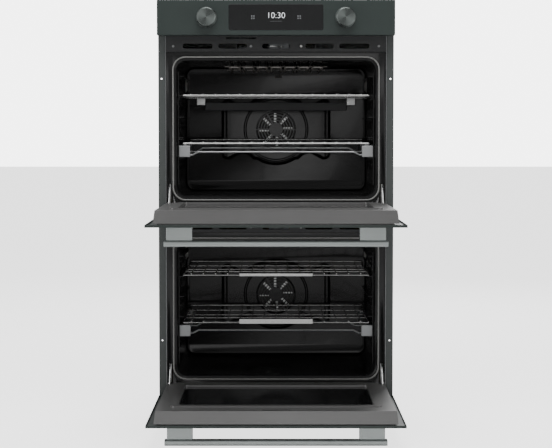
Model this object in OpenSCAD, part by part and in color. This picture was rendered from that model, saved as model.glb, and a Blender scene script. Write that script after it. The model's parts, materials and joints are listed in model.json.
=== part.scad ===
// Double built-in wall oven, doors shown open.
// X runs to the right seen from the front, Y to the rear, Z up.
// The origin is on the underside, centred in X, in the plane of the cabinet face.

/* [Overall] */
// Width over the front trims and the doors
oven_w = 762; // [700:1:920]
// Height from the underside to the top of the control panel
oven_h = 1350; // [1300:1:1640]
// Depth of the case behind the cabinet face
case_d = 590; // [560:1:720]
// How far the front trim overlaps the cabinet on each side
trim_over = 23; // [15:1:30]
// Thickness of the case and trim sheet
sheet_t = 2; // [1:0.5:3]

/* [Front stack] */
// Height of the control panel
panel_h = 112; // [105:1:140]
// Gap between the upper door and the control panel
panel_gap = 6.5; // [5:0.5:10]
// Gap between the two doors
door_gap = 19.5; // [19:0.5:30]
// Height of the base trim
base_trim_h = 60; // [40:1:65]
// Gap between the base trim and the lower door
bottom_gap = 21; // [20:0.5:30]
// Distance from the cabinet face to the front of the oven frame
frame_out = 3; // [2:0.5:5]
// Space between the oven frame and a closed door, filled by the gasket
seal_space = 6; // [5:0.5:9]
// Thickness of a door
door_t = 50; // [44:1:60]

/* [Cavity] */
// Thickness of the enamelled cavity wall
liner_t = 2; // [1.5:0.5:3]
// Thickness of the insulation around a cavity
insulation_t = 30; // [20:1:40]
// Air gap between the insulation and the case side
side_air = 4; // [2:1:15]
// Height of the cavity floor above the bottom edge of its door
floor_up = 55; // [45:1:70]
// Height of the door's top edge above the cavity ceiling
ceiling_down = 74.5; // [70:0.5:90]
// Depth kept behind the cavity for motors and wiring
rear_space = 83; // [75:1:110]
// Corner radius of the cavity
cavity_r = 30; // [15:1:50]

/* [Door] */
// Height of the hinge axis above the bottom edge of the door
hinge_up = 11; // [10:0.5:13]
// Distance of the hinge axis behind the outer face of the door
hinge_in = 27; // [25:0.5:30]
// Depth of the painted outer skin
skin_d = 8; // [6:0.5:12]
// Shadow gap between the outer skin and the inner pan
skin_gap = 4; // [3:0.5:6]
// Distance of the inner pan's foot from the side edge of the door
pan_inset = 24; // [20:1:30]
// How much the inner pan narrows towards the cavity on each side
pan_taper = 5; // [4:1:10]
// Width of the window opening in the inner pan
window_w = 580; // [420:1:600]
// Height of the window opening in the inner pan
window_h = 385; // [300:1:400]
// Height of the window's lower edge above the hinge axis
window_up = 75; // [60:1:85]
// Length of the handle bar
handle_w = 655; // [500:1:680]
// Thickness of the handle bar, front to back
handle_t = 18; // [14:1:22]
// Height of the handle bar on a closed door
handle_h = 28; // [20:1:34]
// Free depth behind the handle bar
handle_reach = 40; // [36:1:40]
// Distance from the top edge of the door to the middle of the handle
handle_down = 45; // [35:1:60]
// Width of a handle post
post_w = 76; // [40:1:90]

/* [Controls] */
// Width of the black control glass
glass_w = 302; // [240:1:340]
// Height of the black control glass
glass_h = 82; // [60:1:90]
// Distance of each knob from the middle of the panel
knob_x = 222; // [205:1:280]
// Diameter of a knob
knob_d = 66; // [50:1:72]
// Height of a knob in front of the panel
knob_h = 25; // [18:1:32]
// Diameter of a knob shaft
knob_shaft_d = 6; // [5:0.5:8]

/* [Racks] */
// Clearance between a rack and the cavity wall on each side
rack_side = 13; // [12:0.5:15]
// Spacing of the front-to-back wires
wire_pitch = 39.5; // [30:0.5:60]
// Diameter of the rack frame rod
rail_d = 6; // [5:0.5:7]
// Diameter of the rack wires
wire_d = 3.6; // [3:0.2:5]
// Height of the flat rack above the middle of the cavity
flat_up = 107.8; // [90:0.5:120]
// Depth of the roll-out rack below the middle of the cavity
roll_down = 48; // [44:0.5:50]

/* [Convection] */
// Radius of the round part of the fan cover
cover_r = 127; // [110:1:140]
// Width of the fan cover
cover_w = 386; // [340:1:460]
// Height of the wings of the fan cover
cover_h = 214; // [190:1:240]
// Depth of the fan cover
cover_d = 22; // [20:1:30]
// Radius of the convection fan
fan_r = 70; // [55:1:76]
// Diameter of the fan shaft
fan_shaft_d = 8; // [6:0.5:10]

/* [Fits] */
// Radial clearance of a running shaft or pin
run_fit = 0.05; // [0.03:0.01:0.1]
// Clearance between neighbouring pieces that move
move_gap = 0.5; // [0.4:0.1:1]
// Clearance around a pane or an insert
seat_gap = 0.4; // [0.3:0.1:1]

/* [Mounting] */
// Radius of a hole for a screw into the cabinet
mount_hole_r = 2.5; // [2:0.1:3.5]
// Height of the lower pair of cabinet screws
mount_low_z = 250; // [150:1:300]
// Height between the two pairs of cabinet screws
mount_span_z = 850; // [600:1:900]
// Radius of the conduit knockout
knockout_r = 11.1; // [10:0.1:15]

/* [Hidden] */

$fn = 48;
eps = 0.01;
LOWER = 0;
UPPER = 1;
OVENS = [LOWER, UPPER];
SIDES = [-1, 1];

// colours
green = "#4a5653";
enamel = "#1d1e1f";
dark_steel = "#2c2d2e";
bright = "#c4c8ca";
grey_steel = "#8f9496";
glass_black = "#15171a";

// widths, outside to inside
half_w = oven_w / 2;
case_w = oven_w - 2 * trim_over;
case_half = case_w / 2;
cavity_w = case_w - 2 * (sheet_t + side_air + insulation_t + liner_t);
cav_half = cavity_w / 2;

// heights
door_h = (oven_h - base_trim_h - bottom_gap - door_gap - panel_gap - panel_h) / 2;
pitch = door_h + door_gap;
panel_z = oven_h - panel_h;
cavity_h = door_h - floor_up - ceiling_down;
function door_z(i) = base_trim_h + bottom_gap + i * pitch;
function hinge_z(i) = door_z(i) + hinge_up;
function cav_z(i) = door_z(i) + floor_up + cavity_h / 2;
// the vent strip runs from the top of the insulation to just below the next frame
function strip_z(i) = cav_z(i) + cavity_h / 2 + insulation_t;
strip_h = pitch - (floor_up + cavity_h + insulation_t) - 10;
frame_low = 8;
top_z = oven_h - 10;

// depths, front to back
frame_y = -frame_out;
frame_t = 2;
door_in_y = frame_y - seal_space;
door_out_y = door_in_y - door_t;
hinge_y = door_out_y + hinge_in;
back_y = case_d - rear_space;
panel_y = door_out_y;
panel_back_y = frame_y - 0.5;

// hinge hardware, measured outwards from the cavity wall
lug_x = cav_half + 17;
lug_w = 4;
stay_x = lug_x + lug_w + 2.5;
stay_w = 4;
hinge_slot_x = lug_x - 0.7;
hinge_slot_w = 12;
pin_r = 4;
pin_len = 9;
stay_pin_r = 3;
stay_pivot_y = 8;
stay_pivot_up = 66;
stay_len = 75;
stay_angle = 45;

// latch and door switch in the vent strip
latch_up = 18;
latch_slot_w = 90;
latch_slot_h = 16;
latch_pivot_x = 17;
latch_pivot_y = 35;
latch_arm = 50;
latch_rest = 50;
plunger_x = 81;
plunger_r = 4;

// gasket
seal_out = 13;
seal_r = 2.4;
seal_y = frame_y - seal_r - 0.1;

// racks
rack_w = cavity_w - 2 * rack_side;
plate_half = 119.5;
rack_front_y = 17;
rack_back_y = back_y - 67;
guide_x = cav_half - 1.5;
guide_t = 2.5;
ledge_in = 20;
ledge_t = 2.5;
ledge_pitch = 66;
slide_low = 90;
slide_high = 58;
slide_front_y = 20;
slide_len = back_y - 47 - slide_front_y;
cap_w = 36;
cap_d = 9;

// ring element, with its two feet a sixth of a turn apart
ring_r = 84;
ring_foot = [ring_r * sin(30), ring_r * cos(30)];

// round cover of the fan and the blower
hub_r = 24;
guard_r = 74;
guard_rings = 5;
motor_r = 38;
blower_r = 88;
blower_y = 330;
blower_z = cav_z(UPPER) + cavity_h / 2 + insulation_t + liner_t + 4;
wheel_r = 68;

// ---------- shared shapes ----------

// flat outline in X and Z, given thickness along Y from y0
module along_y(y0, t) {
    translate([0, y0 + t, 0])
        rotate([90, 0, 0])
            linear_extrude(t)
                children();
}

// rectangle with round corners, centred
module round_rect(w, h, r) {
    square([w - 2 * r, h], center = true);
    square([w, h - 2 * r], center = true);
    for (x = SIDES, z = SIDES)
        translate([x * (w / 2 - r), z * (h / 2 - r)])
            circle(r);
}

// slot with round ends, centred, long side along X
module slot(len, h) {
    square([len - h, h], center = true);
    for (x = SIDES)
        translate([x * (len - h) / 2, 0])
            circle(h / 2);
}

// box from its lowest corner to its highest corner
module block(low, high) {
    translate(low)
        cube(high - low);
}

// rod from p to q, round unless it is given a few flat sides
module rod(p, q, d, sides = 24) {
    v = q - p;
    translate(p)
        rotate([0, acos(v[2] / norm(v)), atan2(v[1], v[0])])
            cylinder(d = d, h = norm(v), $fn = sides);
}

// eight-sided rod bent at each point of a list, every stretch a little longer so that the bends are full
module bent_rod(points, d) {
    for (i = [1 : len(points) - 1]) {
        v = points[i] - points[i - 1];
        lap = d / 4 * v / norm(v);
        rod(points[i - 1] - lap, points[i] + lap, d, 8);
    }
}

module both_sides() {
    for (s = SIDES)
        scale_x(s) children();
}

module scale_x(s) {
    if (s < 0)
        mirror([1, 0, 0]) children();
    else
        children();
}

// closed door to open door, about the hinge axis
module open_door(i) {
    translate([0, hinge_y, hinge_z(i)])
        rotate([90, 0, 0])
            translate([0, -hinge_y, -hinge_z(i)])
                children();
}

// ---------- case ----------

module base_pan() {
    color(grey_steel) {
        block([-case_half, 0, 0], [case_half, case_d, sheet_t]);
        block([-case_half, -frame_out, 0], [case_half, 0, sheet_t]);
        block([-case_half, frame_y, sheet_t],
            [case_half, frame_y + frame_t, door_z(LOWER) - frame_low - 2]);
    }
}

module side_panels() {
    color(grey_steel)
        both_sides()
            block([case_half - sheet_t, 0, sheet_t], [case_half, case_d - sheet_t, top_z - sheet_t]);
}

module rear_panel() {
    box_x = case_half - 128;
    color(grey_steel)
        difference() {
            along_y(case_d - sheet_t, sheet_t)
                difference() {
                    translate([-case_half, sheet_t])
                        square([case_w, top_z - 2 * sheet_t]);
                    for (i = OVENS, row = [0 : 5])
                        translate([0, cav_z(i) - 150 + row * 20])
                            slot(280, 6);
                    translate([-box_x - 50, top_z - 65])
                        square([100 + 2 * seat_gap, 90 + 2 * seat_gap], center = true);
                }
        }
}

module top_cover() {
    color(grey_steel)
        difference() {
            block([-case_half, 0, top_z - sheet_t], [case_half, case_d, top_z]);
            for (row = [0 : 6])
                translate([0, blower_y - 60 + row * 20, top_z - sheet_t - 1])
                    linear_extrude(sheet_t + 2)
                        slot(180, 7);
        }
}

module side_trims() {
    color(green)
        both_sides()
            difference() {
                union() {
                    block([case_half + 1, frame_y, 0], [half_w, 0, panel_z + 20]);
                    block([case_half, 0, sheet_t], [case_half + sheet_t, 25, panel_z + 20]);
                }
                for (k = [0, 1])
                    translate([(case_half + half_w) / 2 + 0.5, frame_y - 1, mount_low_z + k * mount_span_z])
                        rotate([-90, 0, 0])
                            cylinder(r = mount_hole_r, h = frame_out + 2);
            }
}

module base_trim() {
    depth = 30;
    color(dark_steel)
        difference() {
            block([-half_w, frame_y - depth, 4], [half_w, frame_y, base_trim_h]);
            block([-half_w + sheet_t, frame_y - depth + sheet_t, 4 - 1],
                [half_w - sheet_t, frame_y + 1, base_trim_h - sheet_t]);
            for (x = [-1, 0, 1], row = [0, 1])
                along_y(frame_y - depth - 1, sheet_t + 2)
                    translate([x * 200, 24 + row * 14])
                        slot(160, 6);
        }
}

// ---------- controls ----------

module control_fascia() {
    wall = 2.5;
    mid_z = panel_z + panel_h / 2;
    color(green)
        difference() {
            block([-half_w, panel_y, panel_z], [half_w, panel_back_y, oven_h]);
            block([-half_w + wall, panel_y + 3, panel_z + wall],
                [half_w - wall, panel_back_y + 1, oven_h - wall]);
            along_y(panel_y - 1, 5)
                translate([0, mid_z])
                    round_rect(glass_w + 2 * seat_gap, glass_h + 2 * seat_gap, 6 + seat_gap);
            for (s = SIDES)
                translate([s * knob_x, panel_y - 1, mid_z])
                    rotate([-90, 0, 0])
                        cylinder(d = knob_shaft_d + 6, h = 5);
        }
}

module control_glass() {
    mid_z = panel_z + panel_h / 2;
    color(glass_black) {
        along_y(panel_y - 0.6, 3.6)
            translate([0, mid_z])
                round_rect(glass_w, glass_h, 6);
        along_y(panel_y + 3, 2)
            translate([0, mid_z])
                round_rect(glass_w + 16, glass_h + 16, 8);
    }
}

board_y = panel_y + 19;
encoder_d = 8;

module control_board() {
    mid_z = panel_z + panel_h / 2;
    color("#2c5a3a") {
        difference() {
            block([-knob_x - 24, board_y, mid_z - 34], [knob_x + 24, board_y + 2, mid_z + 34]);
            knob_bores(mid_z);
        }
        difference() {
            union() {
                for (s = SIDES)
                    block([s * knob_x - 9, board_y - encoder_d, mid_z - 9],
                        [s * knob_x + 9, board_y, mid_z + 9]);
                block([-102, panel_y + 7, mid_z - 32], [102, board_y, mid_z + 32]);
            }
            knob_bores(mid_z);
        }
        block([-80, board_y + 2, mid_z - 20], [-30, board_y + 14, mid_z + 20]);
        block([20, board_y + 2, mid_z - 26], [70, board_y + 10, mid_z + 10]);
    }
}

module knob_bores(mid_z) {
    for (s = SIDES)
        translate([s * knob_x, board_y - encoder_d - 1, mid_z])
            rotate([-90, 0, 0])
                cylinder(r = knob_shaft_d / 2 + run_fit, h = encoder_d + 4);
}

module knob(s) {
    mid_z = panel_z + panel_h / 2;
    color("#8b918e")
        translate([s * knob_x, panel_y - 1.5, mid_z])
            rotate([90, 0, 0]) {
                cylinder(d = knob_d, h = 6);
                translate([0, 0, 6])
                    cylinder(d = knob_d - 6, h = knob_h - 8);
                translate([0, 0, knob_h - 2])
                    cylinder(d1 = knob_d - 6, d2 = knob_d - 10, h = 2);
                translate([0, 0, -board_y + panel_y - 1.5])
                    cylinder(d = knob_shaft_d, h = board_y - panel_y + 2);
            }
}

module left_knob() {
    knob(-1);
}

module right_knob() {
    knob(1);
}

module vent_strips() {
    slots = [[0, latch_slot_w], [-140, 92], [140, 92], [-253, 97], [253, 97]];
    color(dark_steel)
        for (i = OVENS)
            difference() {
                union() {
                    block([-case_half + 2, frame_y, strip_z(i)],
                        [case_half - 2, frame_y + frame_t, strip_z(i) + strip_h]);
                    block([-case_half + 2, frame_y, strip_z(i) + strip_h - 2],
                        [case_half - 2, frame_y + 16, strip_z(i) + strip_h]);
                }
                for (s = slots)
                    along_y(frame_y - 1, frame_t + 2)
                        translate([s[0], strip_z(i) + latch_up])
                            slot(s[1], latch_slot_h);
                translate([plunger_x, frame_y - 1, strip_z(i) + latch_up])
                    rotate([-90, 0, 0])
                        cylinder(r = plunger_r + move_gap, h = frame_t + 2);
                for (s = SIDES)
                    translate([s * (case_half - 26), frame_y - 1, strip_z(i) + latch_up])
                        rotate([-90, 0, 0])
                            cylinder(r = 2.3, h = frame_t + 2);
                if (i == UPPER)
                    along_y(frame_y - 1, frame_t + 2)
                        translate([-113, strip_z(i) + strip_h - 10])
                            slot(97, 5);
            }
}

// ---------- cavities ----------

module cavity(i) {
    z = cav_z(i);
    color(enamel)
        difference() {
            union() {
                along_y(frame_y, frame_t)
                    translate([-case_half + 2, door_z(i) - frame_low])
                        square([case_w - 4, strip_z(i) - door_z(i) + frame_low - 0.5]);
                along_y(frame_y, back_y - frame_y + liner_t)
                    translate([0, z])
                        round_rect(cavity_w + 2 * liner_t, cavity_h + 2 * liner_t, cavity_r + liner_t);
            }
            along_y(frame_y - 1, back_y - frame_y + 1)
                translate([0, z])
                    round_rect(cavity_w, cavity_h, cavity_r);
            both_sides()
                block([hinge_slot_x, frame_y - 1, hinge_z(i) - 9],
                    [hinge_slot_x + hinge_slot_w, 1, hinge_z(i) + stay_pivot_up + 16]);
            translate([0, back_y - 1, z])
                rotate([-90, 0, 0])
                    cylinder(r = fan_shaft_d / 2 + 4, h = liner_t + 2);
            for (s = SIDES)
                translate([s * ring_foot[0], back_y - 1, z - ring_foot[1]])
                    rotate([-90, 0, 0])
                        cylinder(r = 5, h = liner_t + 2);
            both_sides()
                translate([cav_half - 1, back_y - 60, z + 150])
                    rotate([0, 90, 0])
                        cylinder(r = 12 + seat_gap, h = liner_t + 2);
        }
}

module upper_cavity() {
    cavity(UPPER);
}

module lower_cavity() {
    cavity(LOWER);
}

module door_gaskets() {
    w = cavity_w / 2 + seal_out;
    h = cavity_h / 2 + seal_out;
    r = cavity_r + seal_out - 3;
    color("#8d9093")
        for (i = OVENS)
            translate([0, seal_y, cav_z(i)]) {
                for (s = SIDES) {
                    rod([-w + r, 0, s * h], [w - r, 0, s * h], 2 * seal_r);
                    rod([s * w, 0, -h + r], [s * w, 0, h - r], 2 * seal_r);
                }
                for (x = SIDES, z = SIDES)
                    translate([x * (w - r), 0, z * (h - r)])
                        rotate([90, 0, 0])
                            rotate([0, 0, x > 0 ? (z > 0 ? 0 : 270) : (z > 0 ? 90 : 180)])
                                rotate_extrude(angle = 90)
                                    translate([r, 0])
                                        circle(seal_r, $fn = 24);
            }
}

insulation_y = 60;

module insulation_wraps() {
    outer_w = cavity_w + 2 * (liner_t + insulation_t);
    outer_h = cavity_h + 2 * (liner_t + insulation_t);
    bake_d = 12;
    color("#b9ae8c")
        for (i = OVENS)
            difference() {
                along_y(insulation_y, back_y + liner_t + insulation_t - insulation_y)
                    translate([0, cav_z(i)])
                        square([outer_w, outer_h], center = true);
                along_y(insulation_y - 1, back_y + liner_t - insulation_y + 1)
                    translate([0, cav_z(i)])
                        round_rect(cavity_w + 2 * liner_t, cavity_h + 2 * liner_t, cavity_r + liner_t);
                block([-260, 90, cav_z(i) - cavity_h / 2 - liner_t - bake_d],
                    [260, back_y - 90, cav_z(i) - cavity_h / 2]);
                translate([0, back_y - 1, cav_z(i)])
                    rotate([-90, 0, 0])
                        cylinder(r = 95, h = insulation_t + liner_t + 2);
                both_sides()
                    translate([cav_half, back_y - 60, cav_z(i) + 150])
                        rotate([0, 90, 0])
                            cylinder(r = 18, h = insulation_t + liner_t + 1);
            }
}

// bow-tie outline: a round middle with a wing on each side
module cover_outline(inset) {
    circle(cover_r - inset);
    difference() {
        round_rect(cover_w - 2 * inset, cover_h - 2 * inset, 22 - inset);
        for (x = SIDES, z = SIDES)
            translate([x * (cover_r - 5), z * (cover_h / 2 + 28)])
                circle(50 + inset);
    }
}

// rings of slots in front of the fan, broken by six ribs
module guard_slots() {
    pitch = (guard_r - hub_r) / guard_rings;
    difference() {
        for (n = [0 : guard_rings - 1])
            difference() {
                circle(hub_r + n * pitch + 6.5);
                circle(hub_r + n * pitch);
            }
        for (k = [0 : 5])
            rotate(k * 60)
                translate([0, -2.5])
                    square([guard_r + 1, 5]);
    }
}

module fan_covers() {
    color(enamel)
        for (i = OVENS)
            translate([0, 0, cav_z(i)])
                difference() {
                    along_y(back_y - cover_d, cover_d)
                        cover_outline(0);
                    along_y(back_y - cover_d + 1.5, cover_d)
                        cover_outline(1.5);
                    along_y(back_y - cover_d - 1, 1 + 0.7)
                        difference() {
                            circle(cover_r);
                            circle(cover_r - 12);
                        }
                    along_y(back_y - cover_d - 1, 4)
                        guard_slots();
                }
}

module convection_elements() {
    color(grey_steel)
        for (i = OVENS)
            translate([0, back_y - 11, cav_z(i)]) {
                rotate([90, 0, 0])
                    rotate([0, 0, 300])
                        rotate_extrude(angle = 300, $fn = 96)
                            translate([ring_r, 0])
                                circle(3.5, $fn = 24);
                for (s = SIDES)
                    rod([s * ring_foot[0], 0, -ring_foot[1]], [s * ring_foot[0], 40, -ring_foot[1]], 6);
            }
}

module fan_motors() {
    color(grey_steel)
        for (i = OVENS)
            translate([0, back_y + liner_t, cav_z(i)])
                rotate([-90, 0, 0])
                    difference() {
                        union() {
                            translate([-50, -6, 0])
                                cube([100, 12, 2]);
                            cylinder(r = 16, h = 14);
                            translate([0, 0, 10])
                                cylinder(r = motor_r, h = 44);
                        }
                        translate([0, 0, -1])
                            cylinder(r = fan_shaft_d / 2 + run_fit, h = 50);
                    }
}

broil_up_gap = 17;
bend_out = 15.25;
bend_pitch = 45.5;
bends = 3;

module broil_elements() {
    tube = 6.5;
    y0 = 75;
    y1 = back_y - 75;
    color("#5c5550")
        for (i = OVENS)
            translate([0, 0, cav_z(i) + cavity_h / 2 - broil_up_gap]) {
                for (k = [-bends : bends]) {
                    for (s = SIDES)
                        rod([k * bend_pitch + s * bend_out, y0, 0], [k * bend_pitch + s * bend_out, y1, 0], tube);
                    translate([k * bend_pitch, y0, 0])
                        rotate([0, 0, 180])
                            u_bend(bend_out, tube);
                    if (k < bends)
                        translate([(k + 0.5) * bend_pitch, y1, 0])
                            u_bend(bend_pitch / 2 - bend_out, tube);
                }
                for (s = SIDES)
                    rod([s * (bends * bend_pitch + bend_out), y1 - eps, 0],
                        [s * (bends * bend_pitch + bend_out), back_y, 0], tube);
                for (y = [y0 + 40, y1 - 40])
                    block([-169, y - 5, tube / 2 - 0.5], [169, y + 5, tube / 2 + 1.5]);
            }
}

// half ring of tube, opening towards -Y
module u_bend(r, tube) {
    rotate_extrude(angle = 180)
        translate([r, 0])
            circle(d = tube, $fn = 24);
}

module bake_elements() {
    tube = 7;
    y0 = 130;
    y1 = back_y - 150;
    color("#5c5550")
        for (i = OVENS)
            translate([0, 0, cav_z(i) - cavity_h / 2 - liner_t - 6]) {
                for (s = SIDES) {
                    rod([s * 200, y0, 0], [s * 200, y1, 0], tube);
                    translate([s * 150, y1, 0])
                        u_bend(50, tube);
                    rod([s * 100, y0 + 50, 0], [s * 100, y1, 0], tube);
                }
                rod([-200, y0, 0], [200, y0, 0], tube);
                for (s = SIDES)
                    translate([s * 200, y0, 0])
                        sphere(d = tube, $fn = 24);
            }
}

module oven_lamps() {
    color("#e8e4d8")
        for (i = OVENS)
            both_sides()
                translate([cav_half, back_y - 60, cav_z(i) + 150])
                    rotate([0, -90, 0]) {
                        cylinder(r = 22, h = 5);
                        translate([0, 0, 5])
                            cylinder(r1 = 19, r2 = 13, h = 5);
                        translate([0, 0, -30])
                            cylinder(r = 12, h = 30);
                    }
}

module temperature_sensors() {
    color(bright)
        for (i = OVENS)
            translate([8, 0, cav_z(i) + cavity_h / 2 - 30]) {
                rod([0, back_y - 75, 0], [0, back_y, 0], 5);
                block([-12, back_y - 1.5, -7], [12, back_y, 7]);
            }
}

// ---------- racks ----------

module rack_guides() {
    color(enamel)
        for (i = OVENS)
            translate([0, 0, cav_z(i)])
                both_sides() {
                    difference() {
                        block([guide_x - guide_t, rack_front_y + 5, -cavity_h / 2 + cavity_r + 5],
                            [guide_x, back_y - 100, cavity_h / 2 - cavity_r - 5]);
                        for (k = [0 : 4], n = [0 : 3])
                            translate([guide_x - guide_t - 1, 75 + n * 88, 145 - k * ledge_pitch])
                                rotate([90, 0, 90])
                                    linear_extrude(guide_t + 2)
                                        slot(60, 30);
                    }
                    for (k = [0 : 4])
                        block([cav_half - ledge_in, rack_front_y + 5, ledge_z(k) - ledge_t],
                            [guide_x - guide_t + eps, back_y - 100, ledge_z(k)]);
                    for (k = [0, 4], y = [rack_front_y + 15, back_y - 120])
                        block([guide_x - eps, y, ledge_z(k) + 4], [cav_half, y + 8, ledge_z(k) + 12]);
                }
}

function ledge_z(k) = flat_up - rail_d / 2 - seat_gap - (k - 1) * ledge_pitch;

// wire grid: frame rods, cross rods and front-to-back wires, all eight-sided, and a front plate
module wire_grid(z, plate_h) {
    half = rack_w / 2 - rail_d / 2;
    wires = floor((half - 10) / wire_pitch);
    y0 = rack_front_y;
    y1 = rack_back_y;
    over = rail_d / 2 - 0.5;
    rise = 12;
    translate([0, 0, z]) {
        for (s = SIDES) {
            rod([s * half, y0, 0], [s * half, y1, 0], rail_d, 8);
            rod([s * half, y1 - 1, -0.5], [s * half, y1 + 14, rise], rail_d - 0.4, 8);
        }
        rod([-half - over, y0, 0], [half + over, y0, 0], rail_d, 8);
        rod([-half - over, y1 + 14, rise], [half + over, y1 + 14, rise], rail_d, 8);
        for (y = [y0 + 143, y0 + 233, y1 - 40])
            rod([-half, y, 0], [half, y, 0], rail_d - 1, 8);
        for (k = [-wires : wires]) {
            rod([k * wire_pitch, y0 - 1, rail_d / 2 + 0.8], [k * wire_pitch, y1 - 12, rail_d / 2 + 0.8], wire_d, 8);
            rod([k * wire_pitch, y1 - 13, rail_d / 2 + 0.4], [k * wire_pitch, y1 + 14, rise], wire_d - 0.3, 8);
        }
        if (plate_h > 0) {
            block([-plate_half, y0 - rail_d / 2 - 0.5, -3.5], [plate_half, y0 - rail_d / 2 + 1, plate_h - 3.5]);
            block([-plate_half, y0 - rail_d / 2 - 0.5, plate_h - 5], [plate_half, y0 + 8, plate_h - 3.5]);
        }
    }
}

bar_y = rack_front_y + 233;
bar_half = 240;
clip_w = 28;

module upper_flat_rack() {
    color(bright)
        wire_grid(cav_z(UPPER) + flat_up, 0);
}

module lower_flat_rack() {
    color(bright)
        wire_grid(cav_z(LOWER) + flat_up, 9);
}

// plain bar with a clip at each end that cups a cross rod of the rack
module rack_bar() {
    rod_z = cav_z(UPPER) + flat_up;
    rod_d = rail_d - 1;
    color(dark_steel)
        block([-bar_half, bar_y - 5, rod_z - 45.5], [bar_half, bar_y + 5, rod_z - 18.5]);
    color(bright)
        difference() {
            both_sides()
                block([bar_half, bar_y - 4.5, rod_z - 27], [bar_half + clip_w, bar_y + 4.5, rod_z]);
            rod([-rack_w / 2, bar_y, rod_z], [rack_w / 2, bar_y, rod_z], rod_d, 8);
        }
}

module upper_roll_rack() {
    color(bright)
        wire_grid(cav_z(UPPER) - roll_down, 0);
}

module lower_roll_rack() {
    color(bright)
        wire_grid(cav_z(LOWER) - roll_down, 15);
}

// one slide: fixed rail, middle rail and inner rail side by side, widest outside
fixed_x = cav_half - 14;
fixed_w = 8;
mid_w = 5.5;
mid_x = fixed_x - 1.5 - mid_w;
inner_w = 8;
inner_x = mid_x - 2 - inner_w;

module slide_rails() {
    color(grey_steel)
        for (i = OVENS)
            translate([0, 0, cav_z(i)])
                both_sides()
                    difference() {
                        block([fixed_x, slide_front_y, -slide_low],
                            [fixed_x + fixed_w, slide_front_y + slide_len, -slide_high]);
                        block([fixed_x - 1, slide_front_y - 1, -slide_low + 4],
                            [fixed_x + 4, slide_front_y + slide_len + 1, -slide_high - 4]);
                    }
}

module mid_rails(i) {
    color(bright)
        translate([0, 0, cav_z(i)])
            both_sides() {
                block([mid_x, slide_front_y, -slide_low + 4.6],
                    [mid_x + mid_w, slide_front_y + slide_len - 6, -slide_high - 4.6]);
                block([mid_x + mid_w - eps, slide_front_y + 40, -slide_low + 6],
                    [fixed_x + 3.4, slide_front_y + slide_len - 10, -slide_high - 6]);
            }
}

module upper_mid_rails() {
    mid_rails(UPPER);
}

module lower_mid_rails() {
    mid_rails(LOWER);
}

// bar between the inner rails that steps up from end_z to mid_z, starting `in` from each rail
module cross_bar(y, in, end_z, mid_z, d) {
    low = inner_x - in;
    high = low - 20;
    bent_rod([[-inner_x, y, end_z], [-low, y, end_z], [-high, y, mid_z], [high, y, mid_z],
        [low, y, end_z], [inner_x, y, end_z]], d);
}

module slide_frame(i) {
    cap_x = inner_x - 10;
    pad_h = slide_high - roll_down - rail_d / 2;
    color("#b5b8ba")
        translate([0, 0, cav_z(i)]) {
            both_sides() {
                block([inner_x, slide_front_y - 3, -slide_low],
                    [inner_x + inner_w, slide_front_y + slide_len - 8, -slide_high]);
                block([cap_x, slide_front_y - 3 - cap_d, -slide_low - 2],
                    [cap_x + cap_w, slide_front_y - 3, -slide_high + 3]);
                for (y = [slide_front_y + 40, rack_back_y - 50])
                    block([inner_x + 4, y, -slide_high], [inner_x + 14, y + 20, -slide_high + pad_h]);
            }
            cross_bar(47, 15, -86, -76, 6.5);
            cross_bar(177, 24, -76, -64, 6);
        }
}

module upper_slide_frame() {
    slide_frame(UPPER);
}

module lower_slide_frame() {
    slide_frame(LOWER);
}

// ---------- fans ----------

module fan(i) {
    blades = 8;
    color(bright)
        translate([0, back_y, cav_z(i)])
            rotate([90, 0, 0]) {
                translate([0, 0, -30])
                    cylinder(d = fan_shaft_d, h = 36);
                translate([0, 0, 3])
                    cylinder(r = 15, h = 13);
                translate([0, 0, 3])
                    cylinder(r = fan_r - 6, h = 1.5);
                for (k = [0 : blades - 1])
                    rotate(k * 360 / blades)
                        translate([11, 0, 3.6])
                            rotate([0, 0, 12])
                                translate([0, -1, 0])
                                    cube([fan_r - 14, 2, 11.8]);
            }
}

module upper_fan() {
    fan(UPPER);
}

module lower_fan() {
    fan(LOWER);
}

module blower_housing() {
    wall = 1.5;
    h = 78;
    duct_h = 34;
    color(grey_steel)
        translate([0, blower_y, blower_z])
            difference() {
                union() {
                    cylinder(r = blower_r, h = h, $fn = 96);
                    block([-130, -blower_y + 85, 0], [130, 0, duct_h]);
                    translate([0, 0, h - eps])
                        cylinder(r = 24, h = 30);
                }
                translate([0, 0, wall])
                    cylinder(r = blower_r - wall, h = h - 2 * wall, $fn = 96);
                block([-130 + wall, -blower_y + 84, wall], [130 - wall, 0, duct_h - wall]);
                for (k = [0 : 5])
                    rotate(k * 60)
                        translate([44, 0, h - wall - 1])
                            cylinder(r = 11, h = wall + 2);
                translate([0, 0, h - wall - 1])
                    cylinder(r = 3 + run_fit, h = 26);
            }
}

module blower_wheel() {
    color(grey_steel)
        translate([0, blower_y, blower_z + 8]) {
            cylinder(r = wheel_r, h = 2, $fn = 96);
            cylinder(r = 14, h = 50);
            cylinder(r = 3, h = 88);
            for (k = [0 : 17])
                rotate(k * 20)
                    translate([wheel_r - 16, -0.75, 0])
                        cube([14, 1.5, 54]);
        }
}

// ---------- latch, switch, hinges ----------

module latch_motors() {
    color(grey_steel)
        for (i = OVENS)
            translate([latch_pivot_x, latch_pivot_y, strip_z(i) + latch_up]) {
                translate([0, 0, -9])
                    cylinder(r = 3, h = 14);
                block([-40, -14, -11], [25, 22, -9]);
                block([-40, 22 - eps, -11], [25, 40, 14]);
            }
}

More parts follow.
